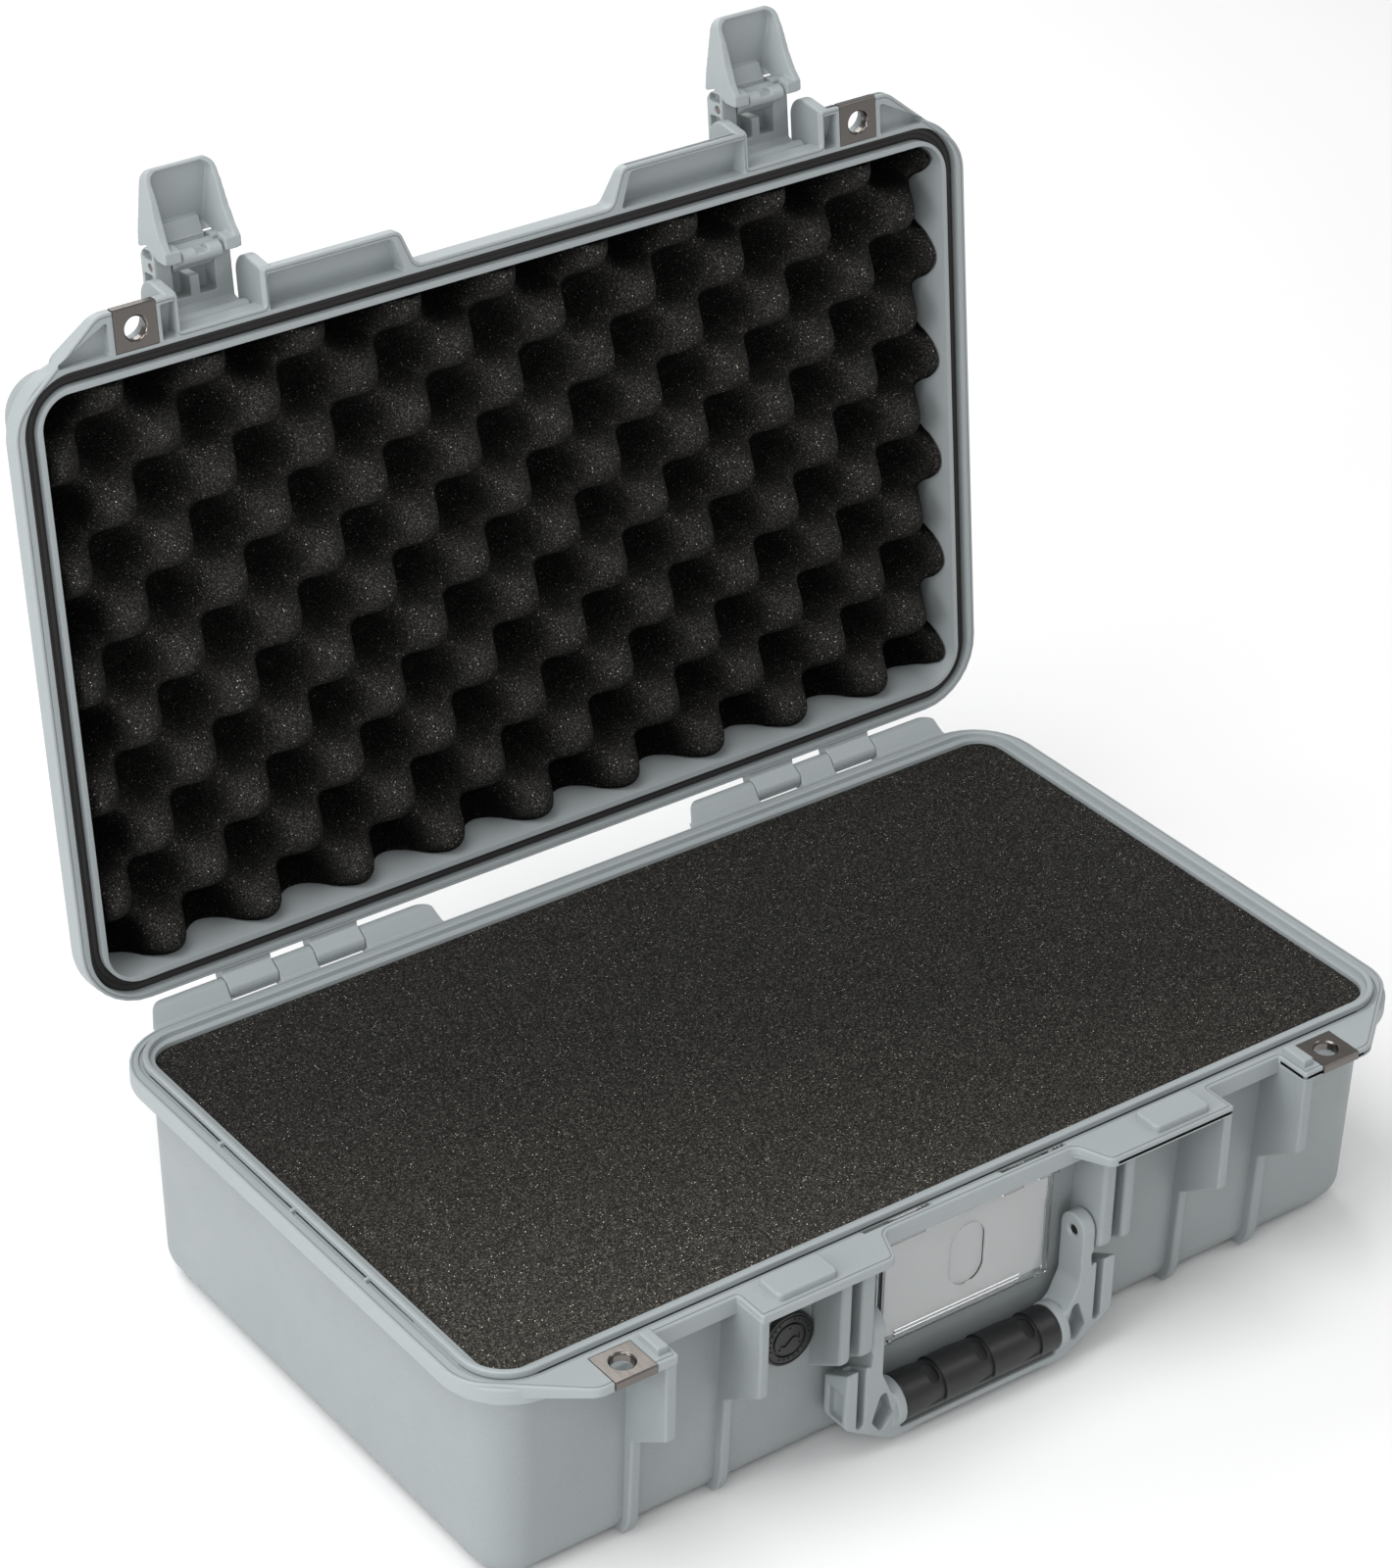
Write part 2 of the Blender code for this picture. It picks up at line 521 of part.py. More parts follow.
def make_lid_shell(plastic, hinge):
    rings = tub(WALL, WALL_CORNER, LID_HEIGHT, LID_DRAFT, END_RADIUS, 1, LID_FACE)
    shell = Piece("lid_shell", skin(rings), plastic, hinge)
    add_rim(shell, LID_FACE, LID_RIM_DEPTH, 1)
    add_tabs(shell, LID_FACE, LID_TAB_EDGE, (LID_RIM_DEPTH - 0.0003, LID_BUTTRESS), 1)
    buttress = tab_level(LID_FACE, LID_TAB_EDGE, LID_BUTTRESS, 1)
    for _, side in SIDES:
        outline = [(0.1605, -0.1312), (0.1605, -0.1578), (0.1975, -0.1578), (0.2150, -0.1430), (0.2150, -0.1312)]
        shell.add(prism(on_side(outline, side), LID_FACE + 0.001, buttress))
    for _, side in SIDES:
        centre = side * HINGE_X
        for x0, x1 in ((0.1159, 0.1209), (0.1603, 0.1653)):
            shell.add(slab_x(ear_side(), *span(x0, x1, side)))
        for sign in (-1, 1):
            edges = sorted((centre + sign * (KNUCKLE_MID + GAP), centre + sign * KNUCKLE_LID))
            shell.add(slab_x(lid_leaf(), *edges))
    cavity = tub(CAVITY, CAVITY_CORNER, LID_HEIGHT - FLOOR, LID_DRAFT, 0.011, 1, LID_FACE)
    cavity.insert(0, [(x, y, z - 0.01) for x, y, z in cavity[0]])
    shell.cut(skin(cavity))
    outer = rounded_rectangle(*GASKET_OUTER, 0.024)
    inner = rounded_rectangle(GASKET_OUTER[0] - GASKET_WIDTH, GASKET_OUTER[1] - GASKET_WIDTH, 0.0182)
    depth = GASKET_RECESS + GASKET_THICK + GAP
    shell.cut(band(outer, inner, LID_FACE - 0.002, LID_FACE + depth))
    for _, side in SIDES:
        cut_padlock_seat(shell, side, LID_FACE, 1)
        shell.cut(rod(0, (side * HINGE_X, HINGE.y, HINGE.z), HINGE_PIN + GAP, 0.09, 16))
        shell.cut(rod(0, (side * LATCH_X, LATCH_PIVOT.y, LATCH_PIVOT.z), LATCH_PIN + GAP, 0.0464, 16))
        floor = tab_level(LID_FACE, LID_TAB_EDGE - 0.0018, LID_BUTTRESS - 0.0025, 1)
        bar_pocket = [(0.1617, -0.1554), (0.1686, -0.1554), (0.1686, -0.1404), (0.1617, -0.1404)]
        shell.cut(prism(on_side(fillet(bar_pocket, 0.0008, 2), side), LID_FACE - 0.002, floor))
        long_pocket = [(0.0595, -0.1555), (0.1190, -0.1555), (0.1190, -0.1402), (0.0540, -0.1402)]
        long_pocket = fillet(long_pocket, [0.003, 0.0008, 0.0008, 0.0008], 2)
        shell.cut(prism(on_side(long_pocket, side), LID_FACE - 0.002, floor))
        corner = fillet([(0.1924, -0.1546), (0.2198, -0.1404), (0.1924, -0.1404)], 0.0012, 2)
        shallow = tab_level(LID_FACE, LID_TAB_EDGE - 0.0018, LID_RIM_DEPTH - 0.0028, 1)
        shell.cut(prism(on_side(corner, side), LID_FACE - 0.002, shallow))
        for sign in (-1, 1):
            x = sorted((side * HINGE_X + sign * 0.0125, side * HINGE_X + sign * 0.0305))
            shell.cut(block(x, (HINGE.y - 0.0082, 0.17), (HINGE.z + 0.0030, HINGE.z + 0.0070)))
    return shell.done()


def make_lid_gasket(rubber, hinge):
    outer = rounded_rectangle(GASKET_OUTER[0] - GAP, GASKET_OUTER[1] - GAP, 0.0237)
    width = GASKET_WIDTH - GAP
    inner = rounded_rectangle(GASKET_OUTER[0] - width, GASKET_OUTER[1] - width, 0.0185)
    low = LID_FACE + GASKET_RECESS
    Piece("lid_gasket", band(outer, inner, low, low + GASKET_THICK), rubber, hinge).done()


def make_lid_foam(foam, hinge):
    """Convoluted pad: a field of staggered soft peaks on a flat sheet."""
    half_x, half_y = CAVITY[0] - 0.0016, CAVITY[1] - 0.0016
    pitch_x, pitch_y = 0.0470, 0.0490
    roof = LID_FACE + LID_HEIGHT - FLOOR - 0.0115
    columns, rows = 38, 22
    shape = bmesh.new()
    grid = []
    for j in range(rows + 1):
        line = []
        for i in range(columns + 1):
            x = -half_x + 2 * half_x * i / columns
            y = -half_y + 2 * half_y * j / rows
            wave = math.cos(2 * math.pi * x / pitch_x) * math.cos(2 * math.pi * (GASKET_OUTER[1] - y) / pitch_y)
            line.append(shape.verts.new((x, y, LID_FACE + 0.0135 - 0.0100 * wave)))
        grid.append(line)
    for j in range(rows):
        for i in range(columns):
            shape.faces.new((grid[j][i], grid[j][i + 1], grid[j + 1][i + 1], grid[j + 1][i]))
    border = grid[0] + [line[-1] for line in grid[1:]] + grid[-1][-2::-1] + [line[0] for line in grid[-2:0:-1]]
    wall = [shape.verts.new((v.co.x, v.co.y, roof)) for v in border]
    draft = [shape.verts.new((v.co.x * 0.952, v.co.y * 0.922, roof + 0.0112)) for v in border]
    for low, high in ((border, wall), (wall, draft)):
        for i in range(len(border)):
            j = (i + 1) % len(border)
            shape.faces.new((low[i], low[j], high[j], high[i]))
    shape.faces.new(draft)
    bmesh.ops.recalc_face_normals(shape, faces=shape.faces)
    mesh = bpy.data.meshes.new("lid_foam")
    shape.to_mesh(mesh)
    shape.free()
    pad = Piece("lid_foam", mesh, foam, hinge)
    frame = band(rounded_rectangle(0.30, 0.20, 0.05),
                 rounded_rectangle(half_x - 0.0012, half_y - 0.0012, CAVITY_CORNER - 0.001),
                 LID_FACE - 0.02, LID_FACE + 0.08)
    pad.cut(frame)
    return pad.done(60)


# ---- latches ----


def make_latch(word, side, plastic, steel, hinge):
    swing = axis_empty("latch_axis_" + word, LATCH_PIVOT + Vector((side * LATCH_X, 0, 0)), hinge)
    turn = axis_empty("lever_axis_" + word, LEVER_PIVOT + Vector((side * LATCH_X, 0, 0)), swing)
    py, pz = LATCH_PIVOT.y, LATCH_PIVOT.z
    qy, qz = LEVER_PIVOT.y, LEVER_PIVOT.z
    middle = side * LATCH_X

    def across(half):
        return (middle - half, middle + half)

    body = Piece("latch_%s_body" % word, rod(0, (middle, py, pz), 0.0040, 0.0384, 20), plastic, swing)
    neck = [(py + 0.0034, pz + 0.0010), (py + 0.0020, pz + 0.0090), (py - 0.0015, pz + 0.0150),
            (py - 0.0045, pz + 0.0171), (py - 0.0171, pz + 0.0171), (py - 0.0171, pz + 0.0146),
            (py - 0.0085, pz + 0.0146), (py - 0.0085, pz + 0.0061), (py - 0.0045, pz + 0.0061),
            (py - 0.0030, pz + 0.0024)]
    body.add(slab_x(neck, *across(BODY_HALF)))
    post_outline = [(py - 0.0050, qz + 0.0075), (py - 0.0050, qz - 0.0035), (qy - 0.0072, qz - 0.0035)]
    post_outline += arc_points((qy, qz), 0.0085, 200, 118, 6)
    for sign in (-1, 1):
        x = sorted((middle + sign * (BODY_HALF - POST_WIDTH), middle + sign * BODY_HALF))
        body.add(slab_x(post_outline, *x))
    body.add(block(across(0.0022), (py - 0.0171, py - 0.0050), (pz + 0.0061, pz + 0.0160)))
    for sign in (-1, 1):
        x = sorted((middle + sign * (BODY_HALF - 0.0030), middle + sign * (BODY_HALF + 0.0050)))
        body.cut(block(x, (py - 0.0185, py - 0.0075), (qz - 0.0020, qz + 0.0055)))
    body.cut(rod(0, (middle, py, pz), LATCH_PIN + GAP, 0.06, 16))
    body.cut(rod(0, (middle, qy, qz), LATCH_PIN + GAP, 0.06, 16))
    body.done()

    side_view = [(-0.0070, 0.0085), (-0.0391, 0.0040), (-0.0391, 0.0012), (-0.0372, -0.0002), (-0.0300, -0.0036),
                 (-0.0200, -0.0066), (-0.0130, -0.0098), (-0.0087, -0.0135), (-0.0037, -0.0135), (-0.0042, -0.0060),
                 (-0.0090, 0.0020)]
    side_view = [(qy + y, qz + z) for y, z in side_view]
    lever = Piece("latch_%s_lever" % word, slab_x(side_view, *across(0.0190)), plastic, turn)
    front_view = [(-0.0175, -0.0020), (-0.0175, -0.0150), (-0.0158, -0.0392), (0.0158, -0.0392),
                  (0.0175, -0.0150), (0.0175, -0.0020)]
    front_view = fillet(front_view, [0, 0.02, 0.0050, 0.0050, 0.02, 0], 4)
    lever.combine(prism([(middle + x, qy + y) for x, y in front_view], qz - 0.03, qz + 0.02), "INTERSECT", 0)
    dish = []
    for near_half, far_half, near, far, level, slope in ((0.0118, 0.0140, -0.0110, -0.0380, 0.0064, 0.1556),
                                                         (0.0150, 0.0144, 0.0000, -0.0384, -0.0160, 0.0)):
        corners = [(near_half, near), (-near_half, near), (-far_half, far), (far_half, far)]
        dish.append([(middle + x, qy + y, qz + level + slope * (y - near))
                     for x, y in fillet(corners, [0, 0, 0.004, 0.004], 4)])
    lever.cut(skin(dish), 0.0006)
    foot = [(-0.0037, -0.0135), (-0.0042, -0.0070), (-0.0100, -0.0070), (-0.0087, -0.0135)]
    for sign in (-1, 1):
        x = sorted((middle + sign * 0.0102, middle + sign * 0.0160))
        lever.add(slab_x([(qy + y, qz + z) for y, z in foot], *x))
    lever.cut(rod(0, (middle, qy, qz), 0.0091, 0.08, 32))
    lever.add(rod(0, (middle, qy, qz), 0.0042, 2 * LEVER_INNER_HALF, 20))
    lever.add(rod(0, (middle, qy - 0.0044, qz - 0.0095), 0.0033, 2 * LEVER_INNER_HALF, 18))
    hook = [(0.0036, -0.0010), (-0.0014, -0.0100), (-0.0070, -0.0080), (-0.0040, 0.0010)]
    lever.add(slab_x([(qy + y, qz + z) for y, z in hook], *across(LEVER_INNER_HALF - 0.0004)))
    neck = [(0.0010, 0.0039), (-0.0115, 0.0078), (-0.0120, 0.0062), (-0.0150, 0.0062), (-0.0150, 0.0040),
            (-0.0040, -0.0008)]
    lever.add(slab_x([(qy + y, qz + z) for y, z in neck], *across(LEVER_INNER_HALF - 0.0004)))
    lever.cut(block(across(0.0028), (qy - 0.0110, qy - 0.0052), (qz - 0.0150, qz - 0.0050)))
    lever.cut(rod(0, (middle, qy, qz), LATCH_PIN + GAP, 0.06, 16))
    lever.done()
    pin = rod(0, (middle, py, pz), LATCH_PIN, 0.0456, 16)
    Piece("latch_%s_pivot_pin" % word, pin, steel, swing).done()
    pin = rod(0, (middle, qy, qz), LATCH_PIN, 0.0344, 16)
    Piece("latch_%s_lever_pin" % word, pin, steel, swing).done()


def main():
    for obj in list(bpy.data.objects):
        bpy.data.objects.remove(obj, do_unlink=True)
    plastic = make_material("moulded_grey", (0.38, 0.41, 0.42), 0.45)
    foam = make_material("charcoal_foam", (0.035, 0.034, 0.033), 0.95)
    rubber = make_material("black_rubber", (0.022, 0.022, 0.023), 0.6)
    seal = make_material("seal_rubber", (0.030, 0.025, 0.024), 0.8)
    steel = make_material("stainless_steel", (0.42, 0.40, 0.37), 0.3, 1.0)
    clear = make_material("clear_plastic", (0.90, 0.90, 0.90), 0.08, 0.0, 0.35)
    card = make_material("label_card", (0.75, 0.75, 0.74), 0.7)
    make_base_shell(plastic)
    make_base_foam(foam)
    make_valve(rubber)
    make_label(clear, card)
    make_handle(plastic, rubber, steel)
    hinge = axis_empty("hinge_axis", HINGE)
    for word, side in SIDES:
        make_padlock_plate("padlock_plate_base_" + word, side, PARTING, -1, steel)
        make_padlock_plate("padlock_plate_lid_" + word, side, LID_FACE, 1, steel, hinge)
        length = 2 * (WING_BARREL - 0.0045)
        pin = rod(0, (side * HINGE_X, HINGE.y, HINGE.z), HINGE_PIN, length, 16)
        Piece("hinge_pin_" + word, pin, steel).done()
    make_lid_shell(plastic, hinge)
    make_lid_gasket(seal, hinge)
    make_lid_foam(foam, hinge)
    for word, side in SIDES:
        make_latch(word, side, plastic, steel, hinge)
    hinge.rotation_euler = (-LID_OPEN, 0.0, 0.0)


main()
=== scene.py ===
"""Looks for the hard protective case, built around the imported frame. Metres, +Z up."""

import json
import math

import bmesh
import bpy
import numpy as np
from mathutils import Matrix, Vector, noise

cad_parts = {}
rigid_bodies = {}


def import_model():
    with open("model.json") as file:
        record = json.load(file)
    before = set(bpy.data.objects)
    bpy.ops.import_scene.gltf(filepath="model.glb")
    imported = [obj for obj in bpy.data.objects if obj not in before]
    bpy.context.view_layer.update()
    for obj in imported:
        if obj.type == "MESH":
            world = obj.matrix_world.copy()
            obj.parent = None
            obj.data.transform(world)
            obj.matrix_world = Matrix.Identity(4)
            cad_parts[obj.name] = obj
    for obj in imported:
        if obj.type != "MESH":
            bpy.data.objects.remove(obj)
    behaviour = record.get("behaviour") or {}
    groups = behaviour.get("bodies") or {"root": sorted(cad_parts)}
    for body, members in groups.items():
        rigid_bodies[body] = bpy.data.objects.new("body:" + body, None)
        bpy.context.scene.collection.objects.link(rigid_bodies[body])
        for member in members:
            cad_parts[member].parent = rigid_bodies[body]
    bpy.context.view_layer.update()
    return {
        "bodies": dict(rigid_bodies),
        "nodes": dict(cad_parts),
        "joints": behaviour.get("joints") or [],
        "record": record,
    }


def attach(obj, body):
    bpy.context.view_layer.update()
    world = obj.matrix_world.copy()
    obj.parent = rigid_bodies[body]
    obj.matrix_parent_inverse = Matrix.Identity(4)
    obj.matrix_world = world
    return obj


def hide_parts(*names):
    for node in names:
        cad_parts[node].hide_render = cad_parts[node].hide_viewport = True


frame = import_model()

# ---- dimensions shared with the part ----
GAP = 0.0003
PARTING = 0.108
LID_FACE = PARTING + GAP
WALL, WALL_CORNER = (0.2285, 0.1325), 0.019
BASE_DRAFT, LID_DRAFT = math.radians(1.3), math.radians(2.0)
END_RADIUS = 0.014
LID_HEIGHT = 0.040
CAVITY, CAVITY_CORNER = (0.2259, 0.1299), 0.0135
FLOOR = 0.004
RIM, RIM_CORNER = (0.2383, 0.1420), 0.030
BASE_RIM_DEPTH, LID_RIM_DEPTH = 0.0090, 0.0095
BASE_TAB_EDGE, LID_TAB_EDGE = 0.0043, 0.0050
LID_BUTTRESS = 0.0200
TAB_FRONT, TAB_ROOT = -0.1580, -0.1120
RIDGE_OUTER, RIDGE_WIDTH, RIDGE_HEIGHT = (0.2316, 0.1358), 0.0026, 0.0028
GASKET_OUTER, GASKET_WIDTH = (0.23405, 0.1384), 0.0058
GASKET_RECESS, GASKET_THICK = 0.0031, 0.0029
HINGE = Vector((0.0, 0.1506, PARTING + 0.0003))
LID_OPEN = math.radians(96.46)
HINGE_X, BARREL, HINGE_PIN = 0.1400, 0.0053, 0.0016
KNUCKLE_MID, KNUCKLE_LID, WING_BARREL, WING_RIM = 0.0094, 0.0340, 0.0610, 0.0730
PLATE_X, PLATE_WIDTH, PLATE_THICK, PLATE_LIP = 0.1802, 0.0194, 0.0012, 0.0037
PLATE_BACK = -0.1402
HOLE_Y, HOLE_RADIUS, BUSH_RADIUS, BUSH_LENGTH = -0.1486, 0.0048, 0.0057, 0.0036
HANDLE_PIVOT = Vector((0.0, -0.1415, PARTING - 0.0435))
ARM = (0.0515, 0.0580)
BOSSES = ((0.0587, 0.0655), (0.0704, 0.0758))
HANDLE_HALF_DEPTH = 0.0072
HANDLE_HALF_WIDTH, HANDLE_DROP = 0.0700, 0.0590
GRIP_HALF, GRIP_TOP, GRIP_BASE = 0.0405, -0.0346, -0.0550
HANDLE_PIN = 0.0020
LATCH_X = 0.1406
LATCH_PIVOT = Vector((0.0, -0.1385, PARTING + 0.0149))
LEVER_PIVOT = Vector((0.0, -0.1619, PARTING + 0.0245))
BODY_HALF, POST_WIDTH, LEVER_INNER_HALF, LATCH_PIN = 0.01765, 0.0079, 0.0092, 0.0015
VALVE = Vector((-0.0887, 0.0, PARTING - 0.0410))
VALVE_RADIUS, VALVE_STEM = 0.0124, 0.0064
CLIP_SLOTS = ((-0.0566, -0.0224), (0.0133, 0.0473))
# The egg-crate foam: a peak's place, the pitch, and the surface's middle depth, swing and bluntness.
WAVE_X, WAVE_Y = -0.0046, 0.1211
CRATE_PITCH = (0.0471, 0.0490)
CRATE_MIDDLE, CRATE_SWING, CRATE_BLUNTNESS = 0.0155, 0.0149, 0.80
SIDES = (("left", -1), ("right", 1))
CLOSED_TO_OPEN = (
    Matrix.Translation(HINGE) @ Matrix.Rotation(-LID_OPEN, 4, "X") @ Matrix.Translation(-HINGE)
)

# ---- shape helpers ----


def skin(rings, looped=False):
    """A closed mesh over rings of equal count, capped at both ends unless it loops."""
    shape = bmesh.new()
    loops = [[shape.verts.new(p) for p in ring] for ring in rings]
    pairs = list(zip(loops, loops[1:]))
    if looped:
        pairs.append((loops[-1], loops[0]))
    for low, high in pairs:
        for i in range(len(low)):
            j = (i + 1) % len(low)
            shape.faces.new((low[i], low[j], high[j], high[i]))
    if not looped:
        shape.faces.new(loops[0][::-1])
        shape.faces.new(loops[-1])
    bmesh.ops.recalc_face_normals(shape, faces=shape.faces)
    mesh = bpy.data.meshes.new("shape")
    shape.to_mesh(mesh)
    shape.free()
    return mesh


def fillet(points, radii, steps=8):
    """The outline with each corner replaced by an arc of its radius (0 keeps the corner)."""
    outline = []
    for i, point in enumerate(points):
        here = Vector(point)
        radius = radii[i] if isinstance(radii, (list, tuple)) else radii
        if radius <= 0:
            outline.append(here)
            continue
        before = (Vector(points[i - 1]) - here).normalized()
        after = (Vector(points[(i + 1) % len(points)]) - here).normalized()
        half = before.angle(after) / 2
        centre = here + (before + after).normalized() * radius / math.sin(half)
        start = here + before * radius / math.tan(half) - centre
        end = here + after * radius / math.tan(half) - centre
        turn = -start.angle_signed(end)
        for k in range(steps + 1):
            a = turn * k / steps
            x = start.x * math.cos(a) - start.y * math.sin(a)
            y = start.x * math.sin(a) + start.y * math.cos(a)
            outline.append(centre + Vector((x, y)))
    return outline


def rounded_rectangle(half_x, half_y, radius, steps=12):
    return fillet([(half_x, half_y), (-half_x, half_y), (-half_x, -half_y), (half_x, -half_y)], radius, steps)


def prism(outline, low, high):
    """An (x, y) outline between two heights, each a number or a function of y."""
    rings = []
    for level in (low, high):
        rings.append([(p[0], p[1], level(p[1]) if callable(level) else level) for p in outline])
    return skin(rings)


def slab_x(outline, x0, x1):
    return skin([[(x, p[0], p[1]) for p in outline] for x in (x0, x1)])


def slab_y(outline, y0, y1):
    return skin([[(p[0], y, p[1]) for p in outline] for y in (y0, y1)])


def block(x, y, z):
    return prism([(x[0], y[0]), (x[1], y[0]), (x[1], y[1]), (x[0], y[1])], z[0], z[1])


def arc_points(centre, radius, first, last, steps):
    points = []
    for k in range(steps + 1):
        a = math.radians(first + (last - first) * k / steps)
        points.append((centre[0] + radius * math.cos(a), centre[1] + radius * math.sin(a)))
    return points


def rod(axis, centre, radius, length, sides=48):
    rings = []
    for end in (-length / 2, length / 2):
        ring = []
        for k in range(sides):
            a = 2 * math.pi * (k + 0.5) / sides
            p = [0.0, 0.0, 0.0]
            p[axis] = end
            p[(axis + 1) % 3] = radius * math.cos(a)
            p[(axis + 2) % 3] = radius * math.sin(a)
            ring.append(Vector(centre) + Vector(p))
        rings.append(ring)
    return skin(rings)


def turned(axis, centre, profile, sides=64):
    """A solid of revolution: profile is (position along the axis, radius) from end to end."""
    rings = []
    for along, radius in profile:
        ring = []
        for k in range(sides):
            a = 2 * math.pi * k / sides
            p = [0.0, 0.0, 0.0]
            p[axis] = along
            p[(axis + 1) % 3] = radius * math.cos(a)
            p[(axis + 2) % 3] = radius * math.sin(a)
            ring.append(Vector(centre) + Vector(p))
        rings.append(ring)
    return skin(rings)


def band(outer, inner, low, high):
    levels = ((outer, low), (outer, high), (inner, high), (inner, low))
    return skin([[(p[0], p[1], z) for p in outline] for outline, z in levels], looped=True)


def tub(half, corner, depth, draft, radius, direction, level, steps=10):
    straight = depth - radius
    inset = math.tan(draft) * straight
    levels = [(0.0, 0.0), (straight, inset)]
    for k in range(1, steps + 1):
        a = math.pi / 2 * k / steps
        levels.append((straight + radius * math.sin(a), inset + radius * (1 - math.cos(a))))
    rings = []
    for down, shrink in levels:
        ring = rounded_rectangle(half[0] - shrink, half[1] - shrink, max(corner - 0.7 * shrink, 0.004))
        rings.append([(p.x, p.y, level + direction * down) for p in ring])
    return rings


def on_side(outline, side):
    return [Vector(p) for p in outline] if side > 0 else [Vector((-p[0], p[1])) for p in outline][::-1]


def span(x0, x1, side):
    return (x0, x1) if side > 0 else (-x1, -x0)


class Piece:
    """One visible piece, grown by adding and cutting shapes, that stands for CAD nodes on a body."""

    def __init__(self, name, mesh, material, slot, body, nodes=(), lid=False):
        self.obj = bpy.data.objects.new(name, mesh)
        bpy.context.scene.collection.objects.link(self.obj)
        self.material, self.slot, self.body, self.nodes, self.lid = material, slot, body, nodes, lid
        self.helpers = []

    def combine(self, mesh, operation, edge, segments=3):
        helper = bpy.data.objects.new(self.obj.name + "_tool", mesh)
        bpy.context.scene.collection.objects.link(helper)
        helper.hide_render = True
        if edge:
            bevel = helper.modifiers.new("edge", "BEVEL")
            bevel.width = edge
            bevel.segments = segments
            bevel.limit_method = "ANGLE"
            bevel.angle_limit = math.radians(40)
        boolean = self.obj.modifiers.new("combine", "BOOLEAN")
        boolean.operation = operation
        boolean.solver = "EXACT"
        boolean.object = helper
        self.helpers.append(helper)

    def add(self, mesh, edge=0.0, segments=3):
        self.combine(mesh, "UNION", edge, segments)

    def cut(self, mesh, edge=0.0, segments=3):
        self.combine(mesh, "DIFFERENCE", edge, segments)

    def done(self, angle=30):
        obj = self.obj
        if obj.modifiers:
            bpy.context.view_layer.update()
            graph = bpy.context.evaluated_depsgraph_get()
            mesh = bpy.data.meshes.new_from_object(obj.evaluated_get(graph))
            obj.modifiers.clear()
            obj.data = mesh
        for helper in self.helpers:
            bpy.data.objects.remove(helper, do_unlink=True)
        if self.lid:
            obj.data.transform(CLOSED_TO_OPEN)
        obj.data.materials.clear()
        obj.data.materials.append(self.material)
        obj.data.shade_smooth()
        obj.data.set_sharp_from_angle(angle=math.radians(angle))
        weighted = obj.modifiers.new("normals", "WEIGHTED_NORMAL")
        weighted.keep_sharp = True
        weighted.weight = 80
        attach(obj, self.body)
        if self.nodes:
            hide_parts(*self.nodes)
        return obj


# ---- materials ----


class Nodes:
    """Short names for building a node tree."""

    def __init__(self, name):
        self.material = bpy.data.materials.new(name)
        self.material.use_nodes = True
        self.tree = self.material.node_tree
        self.shader = self.tree.nodes["Principled BSDF"]
        self.coords = self.new("ShaderNodeTexCoord").outputs["Object"]

    def new(self, kind, **settings):
        node = self.tree.nodes.new(kind)
        for key, value in settings.items():
            setattr(node, key, value)
        return node

    def wire(self, output, socket):
        self.tree.links.new(output, socket)

    def noise(self, scale, detail=3.0, rough=0.5):
        node = self.new("ShaderNodeTexNoise")
        node.inputs["Scale"].default_value = scale
        node.inputs["Detail"].default_value = detail
        node.inputs["Roughness"].default_value = rough
        self.wire(self.coords, node.inputs["Vector"])
        return node.outputs["Fac"]

    def voronoi(self, scale, feature="F1"):
        node = self.new("ShaderNodeTexVoronoi", feature=feature)
        node.inputs["Scale"].default_value = scale
        self.wire(self.coords, node.inputs["Vector"])
        return node.outputs["Distance"]

    def ramp(self, source, stops):
        node = self.new("ShaderNodeValToRGB")
        ramp = node.color_ramp
        while len(ramp.elements) < len(stops):
            ramp.elements.new(0.5)
        for element, (at, colour) in zip(ramp.elements, stops):
            element.position = at
            element.color = (*colour, 1.0) if isinstance(colour, tuple) else (colour, colour, colour, 1.0)
        self.wire(source, node.inputs["Fac"])
        return node.outputs["Color"]

    def mix(self, factor, a, b, blend="MIX"):
        node = self.new("ShaderNodeMix", data_type="RGBA", blend_type=blend)
        for value, socket in ((factor, node.inputs[0]), (a, node.inputs[6]), (b, node.inputs[7])):
            if isinstance(value, bpy.types.NodeSocket):
                self.wire(value, socket)
            elif isinstance(value, tuple):
                socket.default_value = (*value, 1.0)
            else:
                socket.default_value = value
        return node.outputs[2]

    def bump(self, height, strength, distance, normal=None):
        node = self.new("ShaderNodeBump")
        node.inputs["Strength"].default_value = strength
        node.inputs["Distance"].default_value = distance
        self.wire(height, node.inputs["Height"])
        if normal:
            self.wire(normal, node.inputs["Normal"])
        return node.outputs["Normal"]

    def edge(self, radius, samples=4):
        node = self.new("ShaderNodeBevel", samples=samples)
        node.inputs["Radius"].default_value = radius
        return node.outputs["Normal"]

    def set(self, **values):
        for key, value in values.items():
            socket = self.shader.inputs[key.replace("_", " ")]
            if isinstance(value, bpy.types.NodeSocket):
                self.wire(value, socket)
            elif isinstance(value, tuple):
                socket.default_value = (*value, 1.0)
            else:
                socket.default_value = value


